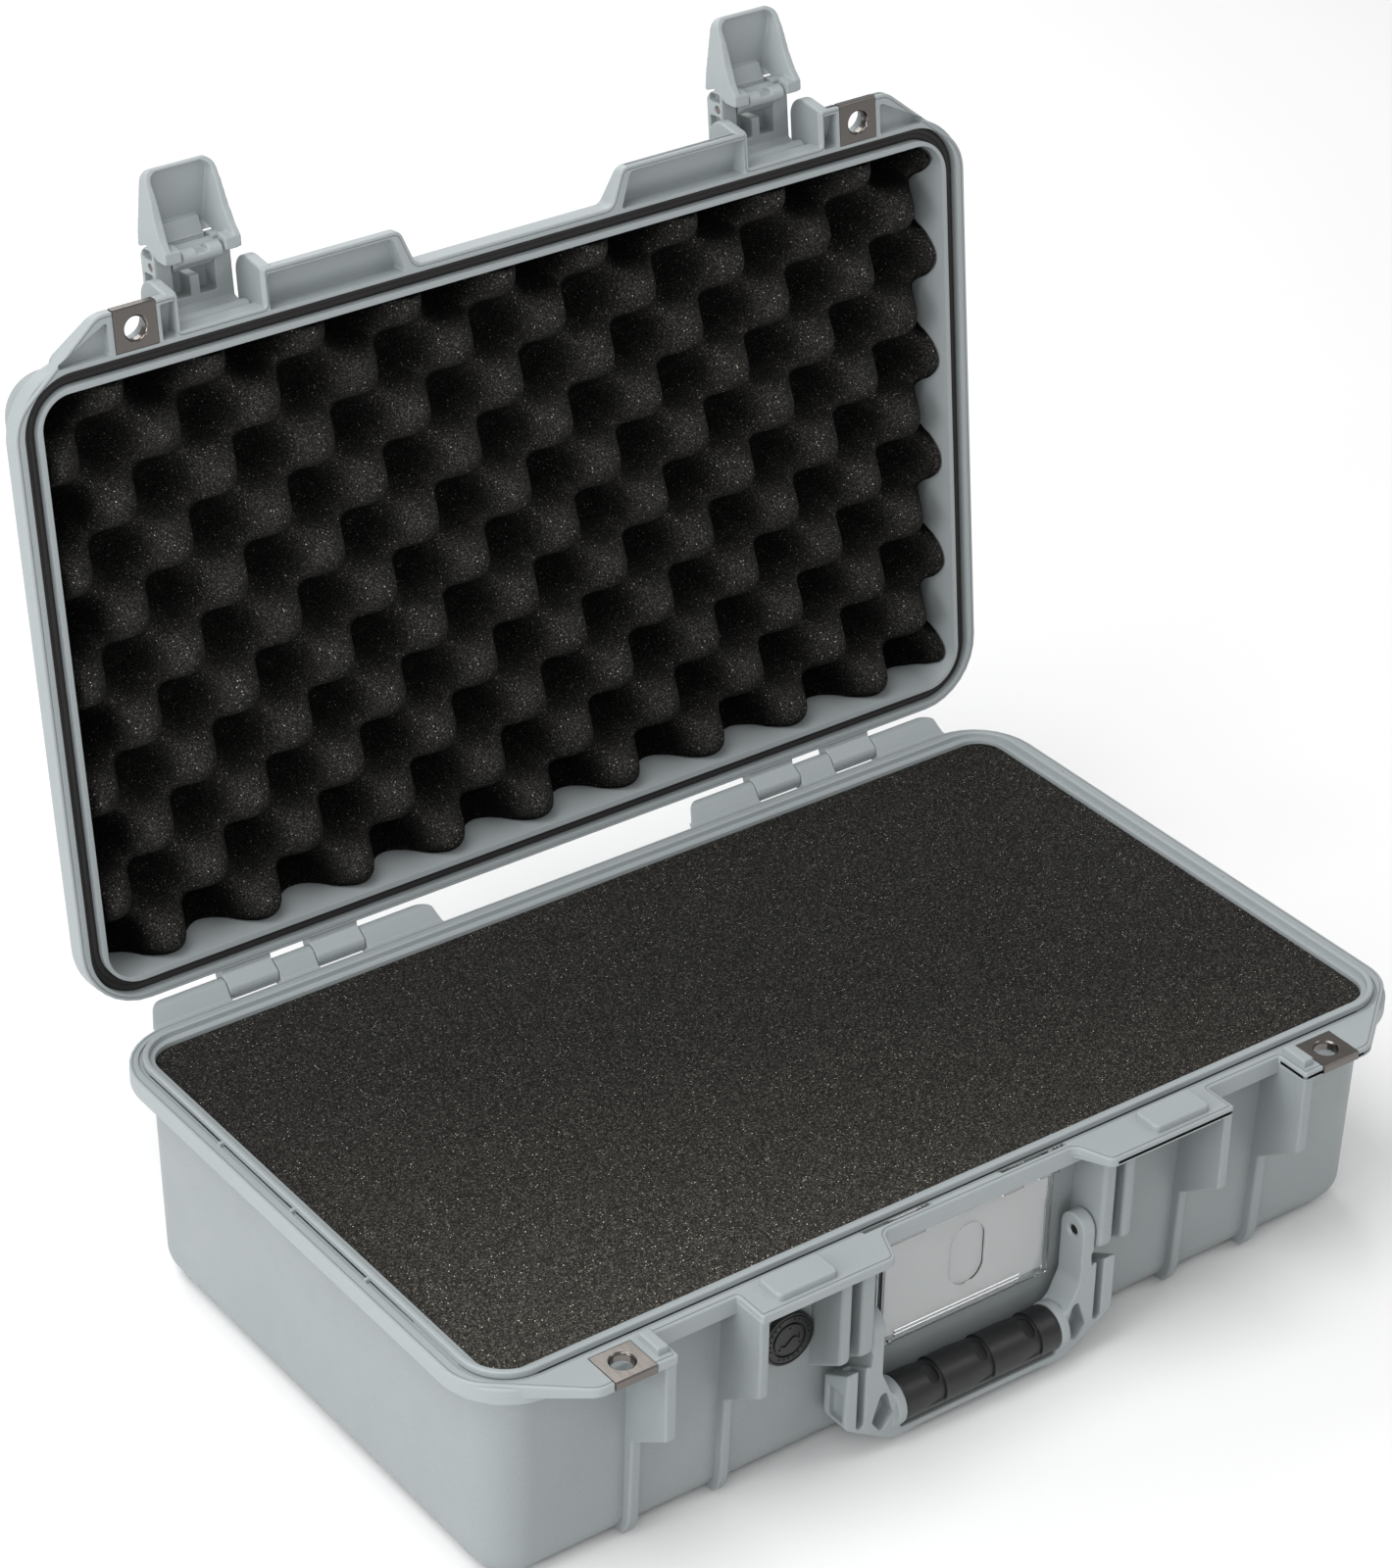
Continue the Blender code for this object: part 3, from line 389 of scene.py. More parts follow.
def moulded_grey(name, shade, grain_scale, depth):
    n = Nodes(name)
    broad = n.noise(14.0, 2.0)
    grain = n.noise(grain_scale, 2.0, 0.6)
    dark, light = (tuple(c * shade for c in colour) for colour in ((0.352, 0.388, 0.398),
                                                                   (0.392, 0.428, 0.438)))
    colour = n.mix(broad, dark, light)
    speck = n.ramp(grain, ((0.35, 0.93), (0.62, 1.0)))
    n.set(Base_Color=n.mix(1.0, colour, speck, "MULTIPLY"), IOR=1.49)
    n.set(Roughness=n.ramp(n.noise(60.0), ((0.3, 0.44), (0.7, 0.54))))
    n.set(Normal=n.bump(grain, 0.35, depth, n.edge(0.0006)))
    return n.material


def charcoal_foam(name, lift, painted_corner_light=False):
    """Open-cell foam: dark pores, a paler skeleton, painted glints in some cells, painted shade in the
    hollows, and optionally painted light toward the front left corner.
    """
    n = Nodes(name)
    pores = n.voronoi(1300.0)
    fine = n.noise(1250.0, 4.0, 0.8)
    mottled = n.ramp(fine, ((0.36, (0.0050, 0.0049, 0.0046)), (0.54, (0.021, 0.0205, 0.0190)),
                            (0.70, (0.130, 0.124, 0.112))))
    # Painted glints: a scatter of cells is made bright in the base colour, standing in for light catching the
    # cell walls.
    cells = n.new("ShaderNodeTexVoronoi")
    cells.inputs["Scale"].default_value = 800.0
    n.wire(n.coords, cells.inputs["Vector"])
    spark = n.ramp(cells.outputs["Distance"], ((0.0, 1.0), (0.13, 1.0), (0.22, 0.0)))
    parts = n.new("ShaderNodeSeparateColor")
    n.wire(cells.outputs["Color"], parts.inputs["Color"])
    pick = n.ramp(parts.outputs["Red"], ((0.40, 0.0), (0.80, 0.22), (1.0, 1.0)))
    glint = n.mix(1.0, spark, pick, "MULTIPLY")
    speckled = n.mix(glint, mottled, (0.62 * lift, 0.58 * lift, 0.50 * lift))
    # Painted shade: an ambient-occlusion factor darkens the colour in the hollows between the peaks.
    painted_hollow_shade = n.new("ShaderNodeAmbientOcclusion")
    painted_hollow_shade.inputs["Distance"].default_value = 0.030
    open_to_light = n.ramp(painted_hollow_shade.outputs["AO"], ((0.30, 0.12), (0.58, 0.60), (0.84, 1.0)))
    colour = n.mix(1.0, speckled, open_to_light, "MULTIPLY")
    if painted_corner_light:
        # Painted light: the colour is lifted toward the front left corner, standing in for light catching the
        # foam there.
        toward = n.new("ShaderNodeVectorMath", operation="DOT_PRODUCT")
        toward.inputs[1].default_value = (-0.9, -2.6, 0.0)
        n.wire(n.coords, toward.inputs[0])
        painted_light_fade = n.ramp(toward.outputs["Value"], ((0.0, 0.0), (0.22, 0.35), (0.52, 1.0)))
        colour = n.mix(painted_light_fade, colour, n.mix(1.0, colour, (2.1, 2.05, 1.95), "MULTIPLY"))
    n.set(Base_Color=colour, Roughness=0.95)
    n.shader.inputs["Specular IOR Level"].default_value = 0.05
    n.set(Normal=n.bump(pores, 0.35, 0.0003))
    return n.material


def rubber(name, colour, roughness, grain_scale, depth):
    n = Nodes(name)
    grain = n.noise(grain_scale, 3.0)
    darker = tuple(c * 0.75 for c in colour)
    n.set(Base_Color=n.mix(n.noise(90.0), darker, colour))
    n.set(Roughness=n.ramp(grain, ((0.3, roughness - 0.06), (0.7, roughness + 0.06))))
    n.set(Normal=n.bump(grain, 0.3, depth, n.edge(0.0003)))
    return n.material


def stamped_steel():
    n = Nodes("stainless_steel")
    n.set(Metallic=1.0)
    brush = n.new("ShaderNodeMapping")
    brush.inputs["Scale"].default_value = (40.0, 1.0, 40.0)
    n.wire(n.coords, brush.inputs["Vector"])
    lines = n.new("ShaderNodeTexNoise")
    lines.inputs["Scale"].default_value = 120.0
    n.wire(brush.outputs["Vector"], lines.inputs["Vector"])
    n.set(Base_Color=n.mix(lines.outputs["Fac"], (0.125, 0.113, 0.105), (0.215, 0.198, 0.185)))
    n.set(Roughness=n.ramp(lines.outputs["Fac"], ((0.3, 0.14), (0.7, 0.26))))
    n.set(Normal=n.bump(lines.outputs["Fac"], 0.15, 0.00005, n.edge(0.00025)))
    return n.material


def clear_plastic():
    n = Nodes("clear_plastic")
    n.set(Base_Color=(0.97, 0.98, 0.98), Roughness=0.06, IOR=1.49)
    n.shader.inputs["Transmission Weight"].default_value = 1.0
    n.set(Normal=n.bump(n.noise(35.0, 1.0), 0.05, 0.0004))
    return n.material


def card():
    n = Nodes("label_card")
    fibre = n.noise(900.0, 3.0)
    n.set(Base_Color=n.mix(fibre, (0.72, 0.73, 0.74), (0.80, 0.81, 0.81)), Roughness=0.55)
    n.set(Normal=n.bump(fibre, 0.1, 0.0001))
    return n.material


GREY = moulded_grey("moulded_grey", 0.90, 2600.0, 0.00012)
GRAINED = moulded_grey("grained_grey", 0.80, 1500.0, 0.00030)
FOAM = charcoal_foam("charcoal_foam", 1.25)
BLOCK_FOAM = charcoal_foam("block_foam", 1.0, True)  # painted light: paler toward its front left corner
GRIP = rubber("grip_rubber", (0.0125, 0.0125, 0.0135), 0.42, 700.0, 0.00006)
BLACK = rubber("black_plastic", (0.017, 0.017, 0.0175), 0.42, 900.0, 0.00004)
SEAL = rubber("seal_rubber", (0.021, 0.018, 0.018), 0.62, 1100.0, 0.0002)
STEEL = stamped_steel()
CLEAR = clear_plastic()
CARD = card()

# ---- flange outline ----


def inset(points, radii, amount):
    """The polygon moved inward, with radii that keep the fillets concentric. Points run clockwise or not."""
    area = sum(a[0] * b[1] - b[0] * a[1] for a, b in zip(points, points[1:] + points[:1]))
    turn = 1 if area > 0 else -1
    moved, rounds = [], []
    count = len(points)
    for i in range(count):
        p, q, r = Vector(points[i - 1]), Vector(points[i]), Vector(points[(i + 1) % count])
        d0, d1 = (q - p).normalized(), (r - q).normalized()
        n0, n1 = Vector((-d0.y, d0.x)) * turn, Vector((-d1.y, d1.x)) * turn
        corner = (n0 + n1) / (1 + n0.dot(n1))
        moved.append(q + corner * amount)
        convex = (d0.x * d1.y - d0.y * d1.x) * turn > 0
        rounds.append(max(radii[i] - amount, 0.0002) if convex else radii[i] + amount)
    return moved, rounds


def flange_corners():
    """Corners of the whole flange, tabs included, and their radii."""
    half = [((0.0490, -0.1420), 0.0045), ((0.0555, -0.1580), 0.0045), ((0.1209, -0.1580), 0.0014),
            ((0.1209, -0.1420), 0.0010), ((0.1603, -0.1420), 0.0010), ((0.1603, -0.1580), 0.0014),
            ((0.1970, -0.1580), 0.0100), ((0.2383, -0.1245), 0.0220), ((0.2383, 0.1420), 0.0300)]
    other = [((-p[0], p[1]), r) for p, r in reversed(half)]
    return [p for p, _ in half + other], [r for _, r in half + other]


def flange(amount=0.0):
    points, radii = flange_corners()
    if amount:
        points, radii = inset(points, radii, amount)
    return fillet(points, radii, 8)


def padlock_tab():
    points = [(0.1603, -0.1310), (0.1603, TAB_FRONT), (0.1970, TAB_FRONT), (0.2383, -0.1245),
              (0.2383, TAB_ROOT), (0.2310, TAB_ROOT), (0.2250, -0.1310)]
    return fillet(points, [0, 0.0014, 0.010, 0.022, 0, 0, 0], 8)


def catch_tab():
    points = [(0.0450, -0.1412), (0.0490, -0.1412), (0.0555, TAB_FRONT), (0.1209, TAB_FRONT),
              (0.1209, -0.1310), (0.0450, -0.1310)]
    return fillet(points, [0, 0.0045, 0.0045, 0.0014, 0, 0], 8)


def tab_level(face, edge, root, direction):
    def level(y):
        return face + direction * (edge + (root - edge) * (y - TAB_FRONT) / (TAB_ROOT - TAB_FRONT))
    return level


def add_flange(piece, face, direction, rim_depth, tab_edge, roots):
    """Rim, tabs and the plate that joins them; the fine line round the top is let in by line_in_flange."""
    ends = sorted((face, face + direction * (tab_edge - 0.0004)))
    piece.add(prism(flange(), *ends), 0.0007)
    ends = sorted((face + direction * 0.0012, face + direction * rim_depth))
    piece.add(prism(rounded_rectangle(*RIM, RIM_CORNER, 14), *ends), 0.0011)
    for _, side in SIDES:
        for outline, root in zip((padlock_tab(), catch_tab()), roots):
            outer = tab_level(face, tab_edge, root, direction)
            start = face + direction * 0.0012
            low, high = (outer, start) if direction < 0 else (start, outer)
            piece.add(prism(on_side(outline, side), low, high), 0.0006)


def line_in_flange(piece, face, direction):
    deep = face + direction * 0.00030
    piece.cut(band(flange(0.00135), flange(0.00170), *sorted((deep, face - direction * 0.001))))


def cut_padlock_seat(piece, side, face, direction):
    x = span(PLATE_X - PLATE_WIDTH / 2 - GAP, PLATE_X + PLATE_WIDTH / 2 + GAP, side)
    deep = face + direction * (PLATE_THICK + GAP)
    piece.cut(block(x, (TAB_FRONT - 0.003, PLATE_BACK + GAP), sorted((deep, face - direction * 0.002))))
    deep = face + direction * 0.012
    piece.cut(block(x, (TAB_FRONT - 0.003, TAB_FRONT + PLATE_THICK),
                    sorted((deep, face - direction * 0.002))))
    piece.cut(rod(2, (side * PLATE_X, HOLE_Y, face), BUSH_RADIUS + GAP, 0.06, 48))


def make_padlock_plate(name, side, face, direction, body, lid=False):
    x = span(PLATE_X - PLATE_WIDTH / 2, PLATE_X + PLATE_WIDTH / 2, side)
    front = TAB_FRONT - 0.0004
    profile = [(PLATE_BACK, 0.0), (front, 0.0), (front, PLATE_LIP), (front + PLATE_THICK, PLATE_LIP),
               (front + PLATE_THICK, PLATE_THICK), (PLATE_BACK, PLATE_THICK)]
    outline = [(y, face + direction * z) for y, z in fillet(profile, [0, 0.0007, 0, 0, 0.0003, 0], 5)]
    plate = Piece(name, slab_x(outline, *x), STEEL, "steel", body, (name,), lid)
    middle = face + direction * (BUSH_LENGTH / 2 + 0.0002)
    plate.add(rod(2, (side * PLATE_X, HOLE_Y, middle), BUSH_RADIUS, BUSH_LENGTH, 48))
    rise = -direction
    funnel = [(rise * 0.002, HOLE_RADIUS + 0.0020), (0.0, HOLE_RADIUS + 0.00085),
              (-rise * 0.0004, HOLE_RADIUS + 0.0003),
              (-rise * 0.0010, HOLE_RADIUS), (-rise * 0.03, HOLE_RADIUS)]
    plate.cut(turned(2, (side * PLATE_X, HOLE_Y, face), funnel, 48))
    return plate.done()


# ---- base shell ----


def rib_side(front, tip, corner):
    root = -WALL[1] + 0.0035
    heel = tip + 0.78 * (-WALL[1] - front)
    points = [(root, PARTING - 0.002), (front, PARTING - 0.002), (front, PARTING - tip),
              (root, PARTING - heel)]
    return fillet(points, [0, 0, corner, 0], 8)


def lower_rib_side():
    foot = PARTING - END_RADIUS
    centre = (-WALL[1] + math.tan(BASE_DRAFT) * foot + END_RADIUS, END_RADIUS)
    points = [(-WALL[1] + 0.005, PARTING - 0.045), (-WALL[1] - 0.0036, PARTING - 0.045)]
    points += arc_points(centre, END_RADIUS + 0.0040, 180, 226, 12)
    points.append((centre[0] + 0.004, 0.0012))
    return points


def base_leaf():
    arc = arc_points((HINGE.y, HINGE.z), BARREL, 118, -92, 28)
    return arc + [(0.1405, PARTING - BASE_RIM_DEPTH + 0.0006), (0.1405, PARTING - 0.0008),
                  (0.1440, PARTING - 0.0006)]


def lid_leaf():
    arc = arc_points((HINGE.y, HINGE.z), BARREL, -118, 92, 28)
    return arc + [(0.1405, LID_FACE + LID_RIM_DEPTH - 0.0006), (0.1405, LID_FACE + 0.0006),
                  (0.1440, LID_FACE + 0.0004)]


def base_wing(centre, outer_side):
    inner = centre + outer_side * (KNUCKLE_LID + GAP)
    barrel_end = centre + outer_side * WING_BARREL
    rim_end = centre + outer_side * WING_RIM
    rings = []
    for t in range(9):
        ring = []
        for y, z in base_leaf():
            back = min(max((y - 0.1405) / (HINGE.y + BARREL - 0.1405), 0), 1)
            end = rim_end + (barrel_end - rim_end) * back**2.2
            ring.append((inner + (end - inner) * t / 8, y, z))
        rings.append(ring)
    return skin(rings)


def ridge(shell):
    """The raised sealing ridge, the shallow groove outside it and its small cross nubs."""
    outer = rounded_rectangle(*RIDGE_OUTER, 0.0215)
    inner = rounded_rectangle(RIDGE_OUTER[0] - RIDGE_WIDTH, RIDGE_OUTER[1] - RIDGE_WIDTH, 0.0189)
    wide = rounded_rectangle(RIDGE_OUTER[0] + 0.0019, RIDGE_OUTER[1] + 0.0019, 0.0234)
    shell.cut(band(wide, outer, PARTING - 0.0008, PARTING + 0.01))
    shell.add(band(outer, inner, PARTING - 0.002, PARTING + RIDGE_HEIGHT), 0.0007)
    y, x = RIDGE_OUTER[1] + 0.0009, RIDGE_OUTER[0] + 0.0009
    nubs = [(-x, 0.056, 0), (-x, 0.0017, 0), (-x, -0.0523, 0), (x, 0.0833, 0), (x, 0.0290, 0),
            (x, -0.0257, 0),
            (x, -0.0790, 0), (-0.026, y, 1), (0.029, y, 1), (-0.121, y, 1), (0.121, y, 1)]
    for nx, ny, along in nubs:
        half = (0.0008, 0.0014) if along else (0.0014, 0.0008)
        box = block((nx - half[0], nx + half[0]), (ny - half[1], ny + half[1]),
                    (PARTING - 0.002, PARTING + 0.0013))
        shell.add(box, 0.0004, 2)


def base_shell():
    rings = tub(WALL, WALL_CORNER, PARTING, BASE_DRAFT, END_RADIUS, -1, PARTING)
    shell = Piece("case_base", skin(rings), GREY, "moulded_grey", "base", ("base_shell",))
    add_flange(shell, PARTING, -1, BASE_RIM_DEPTH, BASE_TAB_EDGE, (BASE_RIM_DEPTH - 0.0003,) * 2)
    for _, side in SIDES:
        for x0, x1 in ((0.1605, 0.1660), (0.1165, 0.1212)):
            shell.add(slab_x(rib_side(TAB_FRONT + 0.0004, 0.041, 0.003), *span(x0, x1, side)), 0.0013)
            shell.add(slab_x(lower_rib_side(), *span(x0 + 0.0001, x1 - 0.0001, side)), 0.0018, 4)
        for x0, x1 in BOSSES:
            shell.add(slab_x(rib_side(-0.1510, 0.050, 0.005), *span(x0, x1, side)), 0.0020, 4)
        centre = side * HINGE_X
        shell.add(slab_x(base_leaf(), centre - KNUCKLE_MID, centre + KNUCKLE_MID), 0.0005, 2)
        shell.add(base_wing(centre, 1), 0.0005, 2)
        shell.add(base_wing(centre, -1), 0.0005, 2)
        pad = fillet([(0.0815, -0.1545), (0.1105, -0.1545), (0.1105, -0.1405), (0.0815, -0.1405)], 0.0022, 6)
        shell.add(prism(on_side(pad, side), PARTING - 0.001, PARTING + 0.0035), 0.0010)
        bar = fillet([(0.1625, -0.1542), (0.1678, -0.1542), (0.1678, -0.1410), (0.1625, -0.1410)], 0.0008, 4)
        shell.add(prism(on_side(bar, side), PARTING - 0.001, PARTING + 0.0035), 0.0008)
    line_in_flange(shell, PARTING, -1)
    ridge(shell)
    cavity = tub(CAVITY, CAVITY_CORNER, PARTING - FLOOR, BASE_DRAFT, 0.010, -1, PARTING)
    cavity.insert(0, [(x, y, z + 0.01) for x, y, z in cavity[0]])
    shell.cut(skin(cavity))
    for _, side in SIDES:
        cut_padlock_seat(shell, side, PARTING, -1)
        shell.cut(rod(0, (side * 0.0645, HANDLE_PIVOT.y, HANDLE_PIVOT.z), HANDLE_PIN + GAP, 0.0180, 32))
        length = 2 * (WING_BARREL - 0.004)
        shell.cut(rod(0, (side * HINGE_X, HINGE.y, HINGE.z), HINGE_PIN + GAP, length, 32))
        for offset in (-0.0240, -0.0040, 0.0040, 0.0240):
            x = side * HINGE_X + offset + (0.0 if abs(offset) < 0.01 else math.copysign(0.026, offset))
            slot = block((x - 0.0027, x + 0.0027), (HINGE.y + 0.0034, 0.17),
                         (HINGE.z - 0.002, HINGE.z + 0.01))
            shell.cut(slot, 0.0003, 2)
    shell.cut(rod(1, (VALVE.x, -WALL[1], VALVE.z), VALVE_STEM + GAP, 0.02, 40))
    for x in CLIP_SLOTS:
        shell.cut(block(x, (-0.1389, -0.1362), (PARTING - 0.020, PARTING + 0.004)))
    return texture_walls(shell.done(), lambda z: z < PARTING - 0.0098)


def texture_walls(obj, on_wall):
    """Faces of the outer walls take the coarser mould grain."""
    obj.data.materials.append(GRAINED)
    if obj.name == "case_lid":
        back_to_closed = CLOSED_TO_OPEN.inverted()
    else:
        back_to_closed = Matrix.Identity(4)
    for face in obj.data.polygons:
        c = back_to_closed @ face.center
        outside = abs(c.x) > CAVITY[0] - 0.0085 or abs(c.y) > CAVITY[1] - 0.0085
        roof = c.z < FLOOR * 0.6 or c.z > LID_FACE + LID_HEIGHT - 0.0010
        inside = abs(c.x) < CAVITY[0] + 0.0003 and abs(c.y) < CAVITY[1] + 0.0003
        wall = outside and not (inside and inner_face(c, back_to_closed.to_3x3() @ face.normal))
        if on_wall(c.z) and (roof or wall):
            face.material_index = 1
    return obj


def inner_face(c, normal):
    """True where the face looks back toward the middle of the case."""
    return normal.x * c.x + normal.y * c.y < 0


def make_valve():
    wall = -WALL[1] + math.tan(BASE_DRAFT) * (PARTING - VALVE.z - 0.0130)
    face = wall - GAP - 0.0024
    ring = [(wall - GAP, 0.0), (wall - GAP, VALVE_RADIUS), (face + 0.0008, VALVE_RADIUS),
            (face + 0.0002, VALVE_RADIUS - 0.0002),
            (face, VALVE_RADIUS - 0.0008), (face, 0.01130), (face + 0.0006, 0.01120),
            (face + 0.0006, 0.01085),
            (face, 0.01075), (face, 0.00830), (face + 0.0009, 0.00795), (face + 0.0009, 0.0)]
    body = Piece("valve_ring", turned(1, (VALVE.x, 0, VALVE.z), ring, 72), BLACK, "black", "base",
                 ("valve_body",))
    for k in range(24):
        a = 2 * math.pi * k / 24
        if k % 8 in (6, 7):
            continue
        tick = rod(1, (VALVE.x + 0.0095 * math.cos(a), face, VALVE.z + 0.0095 * math.sin(a)), 0.00052,
                   0.0008, 12)
        body.add(tick)
    body.add(rod(1, (VALVE.x, wall + 0.0032, VALVE.z), VALVE_STEM, 0.0110, 40))
    body.done()
    front = face - 0.0001
    disc = [(face + 0.0012, 0.0), (face + 0.0012, 0.0073), (front + 0.0003, 0.0073), (front, 0.0070),
            (front, 0.0)]
    cap = Piece("valve_disc", turned(1, (VALVE.x, 0, VALVE.z), disc, 64), BLACK, "black", "base",
                ("valve_cap",))
    slot = []
    for k in range(13):
        t = k / 12 * 2 - 1
        slot.append((VALVE.x + 0.0050 * t, VALVE.z + 0.0016 * math.sin(math.pi * t) + 0.0011))
    slot += [(x, z - 0.0022) for x, z in slot[::-1]]
    cap.cut(slab_y(slot, front - 0.002, front + 0.0007))
    for k in range(3):
        a = math.radians(90 + 120 * k)
        cap.cut(rod(1, (VALVE.x + 0.0058 * math.cos(a), front, VALVE.z + 0.0058 * math.sin(a)), 0.0006,
                    0.0008, 12))
    cap.done()


def label():
    """Clear window with a thumb recess, rails and clips, over a blank card."""
    low, high = PARTING - 0.0645, PARTING - 0.0096
    front = -0.1358
    window = Piece("label_cover", block((-0.0440, 0.0440), (front, -0.1347), (low, high)),
                   CLEAR, "clear", "base", ("label_window",))
    for drop in (0.0, 0.0021, 0.0040):
        inset_x = 0.0 if drop == 0 else 0.0150
        window.add(block((-0.0440 + inset_x * 0.5, 0.0440 - inset_x), (front - 0.0008, -0.1350),
                         (low + drop, low + drop + 0.0011)), 0.0002, 2)
    for _, side in SIDES:
        window.add(block(span(0.0426, 0.0440, side), (front - 0.0006, -0.1330), (low, high)), 0.0003, 2)
        window.add(block(span(0.0380, 0.0400, side), (front - 0.0012, -0.1350),
                         (low - 0.0002, low + 0.0022)), 0.0003, 2)
    middle = PARTING - 0.0362
    oval = rounded_rectangle(0.0085, 0.0150, 0.0084, 14)
    window.cut(slab_y([(p.x, middle + p.y) for p in oval], front - 0.001, front + 0.0005), 0.0002, 2)
    lip = rounded_rectangle(0.0090, 0.0155, 0.0089, 14)
    window.add(skin([[(p[0], y, middle + p[1]) for p in outline] for outline, y in
                     ((lip, front - 0.00025), (lip, front + 0.0001), (oval, front + 0.0001),
                      (oval, front - 0.00025))],
                    looped=True))
    for x0, x1 in CLIP_SLOTS:
        for a, b in ((x0 + 0.002, x0 + 0.013), (x1 - 0.013, x1 - 0.002)):
            a, b = max(a, -0.0436), max(b, -0.0330)
            window.add(block((a, b), (-0.1384, -0.1352), (PARTING - 0.0130, PARTING - 0.0096)))
            window.add(block((a, b), (-0.1384, -0.1367), (PARTING - 0.0110, PARTING - 0.0005)), 0.0003, 2)
    window.done()
    Piece("blank_card", block((-0.0415, 0.0415), (-0.1343, -0.1338), (low + 0.0028, high - 0.0008)),
          CARD, "card", "base", ("label_card",)).done()


# ---- foam ----


def foam_layer(name, low, high, node, rough):
    """A cut slab: flat faces with slightly open, uneven edges."""
    rings = []
    levels = [(low, 0.0005), (low + 0.0004, 0.0)]
    steps = 14
    levels += [(low + 0.0004 + (high - low - 0.0008) * k / steps, 0.0) for k in range(1, steps + 1)]
    levels += [(high - 0.0001, 0.0002), (high, 0.0008)]
    for z, soft in levels:
        shrink = math.tan(BASE_DRAFT) * (PARTING - z) + 0.0006 + soft
        shrink += 0.0090 if z < 0.010 else 0.0
        corners = [(1, 1), (-1, 1), (-1, -1), (1, -1)]
        half = (CAVITY[0] - shrink, CAVITY[1] - shrink)
        points = [(cx * half[0], cy * half[1]) for cx, cy in corners]
        outline = fillet(points, CAVITY_CORNER - 0.001 - soft, 10)
        ring = []
        for i, p in enumerate(outline):
            q = outline[(i + 1) % len(outline)]
            count = max(int((q - p).length / 0.004), 1)
            for k in range(count):
                at = p.lerp(q, k / count)
                wobble = rough * noise.noise(Vector((at.x * 160, at.y * 160, z * 160)))
                ring.append((at.x * (1 + wobble), at.y * (1 + wobble), z))
        rings.append(ring)
    pad = Piece(name, skin(rings), BLOCK_FOAM, "foam", "base", (node,))
    return pad


def base_foam():
    foam_layer("foam_floor_pad", FLOOR + GAP, 0.0163, "base_foam_pad", 0.0).done()
    main = foam_layer("foam_block", 0.0166, PARTING - 0.0013, "base_foam_block", 0.0004)
    main.cut(block((VALVE.x - 0.012, VALVE.x + 0.012), (-0.14, -0.1212), (VALVE.z - 0.012, VALVE.z + 0.012)))
    main.done()


def lid_foam():
    """Convoluted pad: a field of soft peaks cut in a sheet, wavy where the cut runs out at the rim."""
    half_x, half_y = CAVITY[0] - 0.0012, CAVITY[1] - 0.0012
    roof = LID_FACE + LID_HEIGHT - FLOOR - 0.0015
    columns, rows = 300, 172
    shape = bmesh.new()
    grid = []
    corner = CAVITY_CORNER
    for j in range(rows + 1):
        line = []
        for i in range(columns + 1):
            x = -half_x + 2 * half_x * i / columns
            y = -half_y + 2 * half_y * j / rows
            across = math.cos(2 * math.pi * (x - WAVE_X) / CRATE_PITCH[0])
            wave = across * math.cos(2 * math.pi * (y - WAVE_Y) / CRATE_PITCH[1])
            swell = math.copysign(abs(wave) ** CRATE_BLUNTNESS, wave)
            depth = CRATE_MIDDLE - CRATE_SWING * swell
            depth = max(depth, 0.0004)
            depth += 0.0004 * noise.noise(Vector((x * 110, y * 110, 3.0)))
            depth += 0.00018 * noise.noise(Vector((x * 900, y * 900, 7.0)))
            inner = (half_x - corner, half_y - corner)
            over = Vector((max(abs(x) - inner[0], 0), max(abs(y) - inner[1], 0)))
            if over.length > corner:
                over *= corner / over.length
                x = math.copysign(min(abs(x), inner[0]) + over.x, x)
                y = math.copysign(min(abs(y), inner[1]) + over.y, y)
            line.append(shape.verts.new((x, y, LID_FACE + depth)))
        grid.append(line)
    for j in range(rows):
        for i in range(columns):
            shape.faces.new((grid[j][i], grid[j][i + 1], grid[j + 1][i + 1], grid[j + 1][i]))
    border = grid[0] + [line[-1] for line in grid[1:]]
    border += grid[-1][-2::-1] + [line[0] for line in grid[-2:0:-1]]
    inset_roof = 0.95
    last = border
    for depth, scale in ((0.026, 0.9965), (0.0315, 0.978), (roof - LID_FACE, inset_roof)):
        ring = []
        for v in border:
            z = max(LID_FACE + depth, v.co.z + 0.0002 * depth)
            ring.append(shape.verts.new((v.co.x * scale, v.co.y * (1 - (1 - scale) * 1.6), z)))
        for i in range(len(border)):
            j = (i + 1) % len(border)
            shape.faces.new((last[i], last[j], ring[j], ring[i]))
        last = ring
    shape.faces.new(last)
    bmesh.ops.recalc_face_normals(shape, faces=shape.faces)
    mesh = bpy.data.meshes.new("lid_foam")
    shape.to_mesh(mesh)
    shape.free()
    pad = Piece("egg_crate_foam", mesh, FOAM, "foam", "lid", ("lid_foam",), lid=True)
    pad.done(70)



# ---- lid ----


def ear_side():
    points = [(-0.1303, LID_FACE + 0.0012), (-0.1581, LID_FACE + 0.0012), (-0.1606, LID_FACE + 0.0120),
              (-0.1606, LID_FACE + 0.0220), (-0.1303, LID_FACE + 0.0220)]
    return fillet(points, [0, 0.001, 0.001, 0.0085, 0], 10)


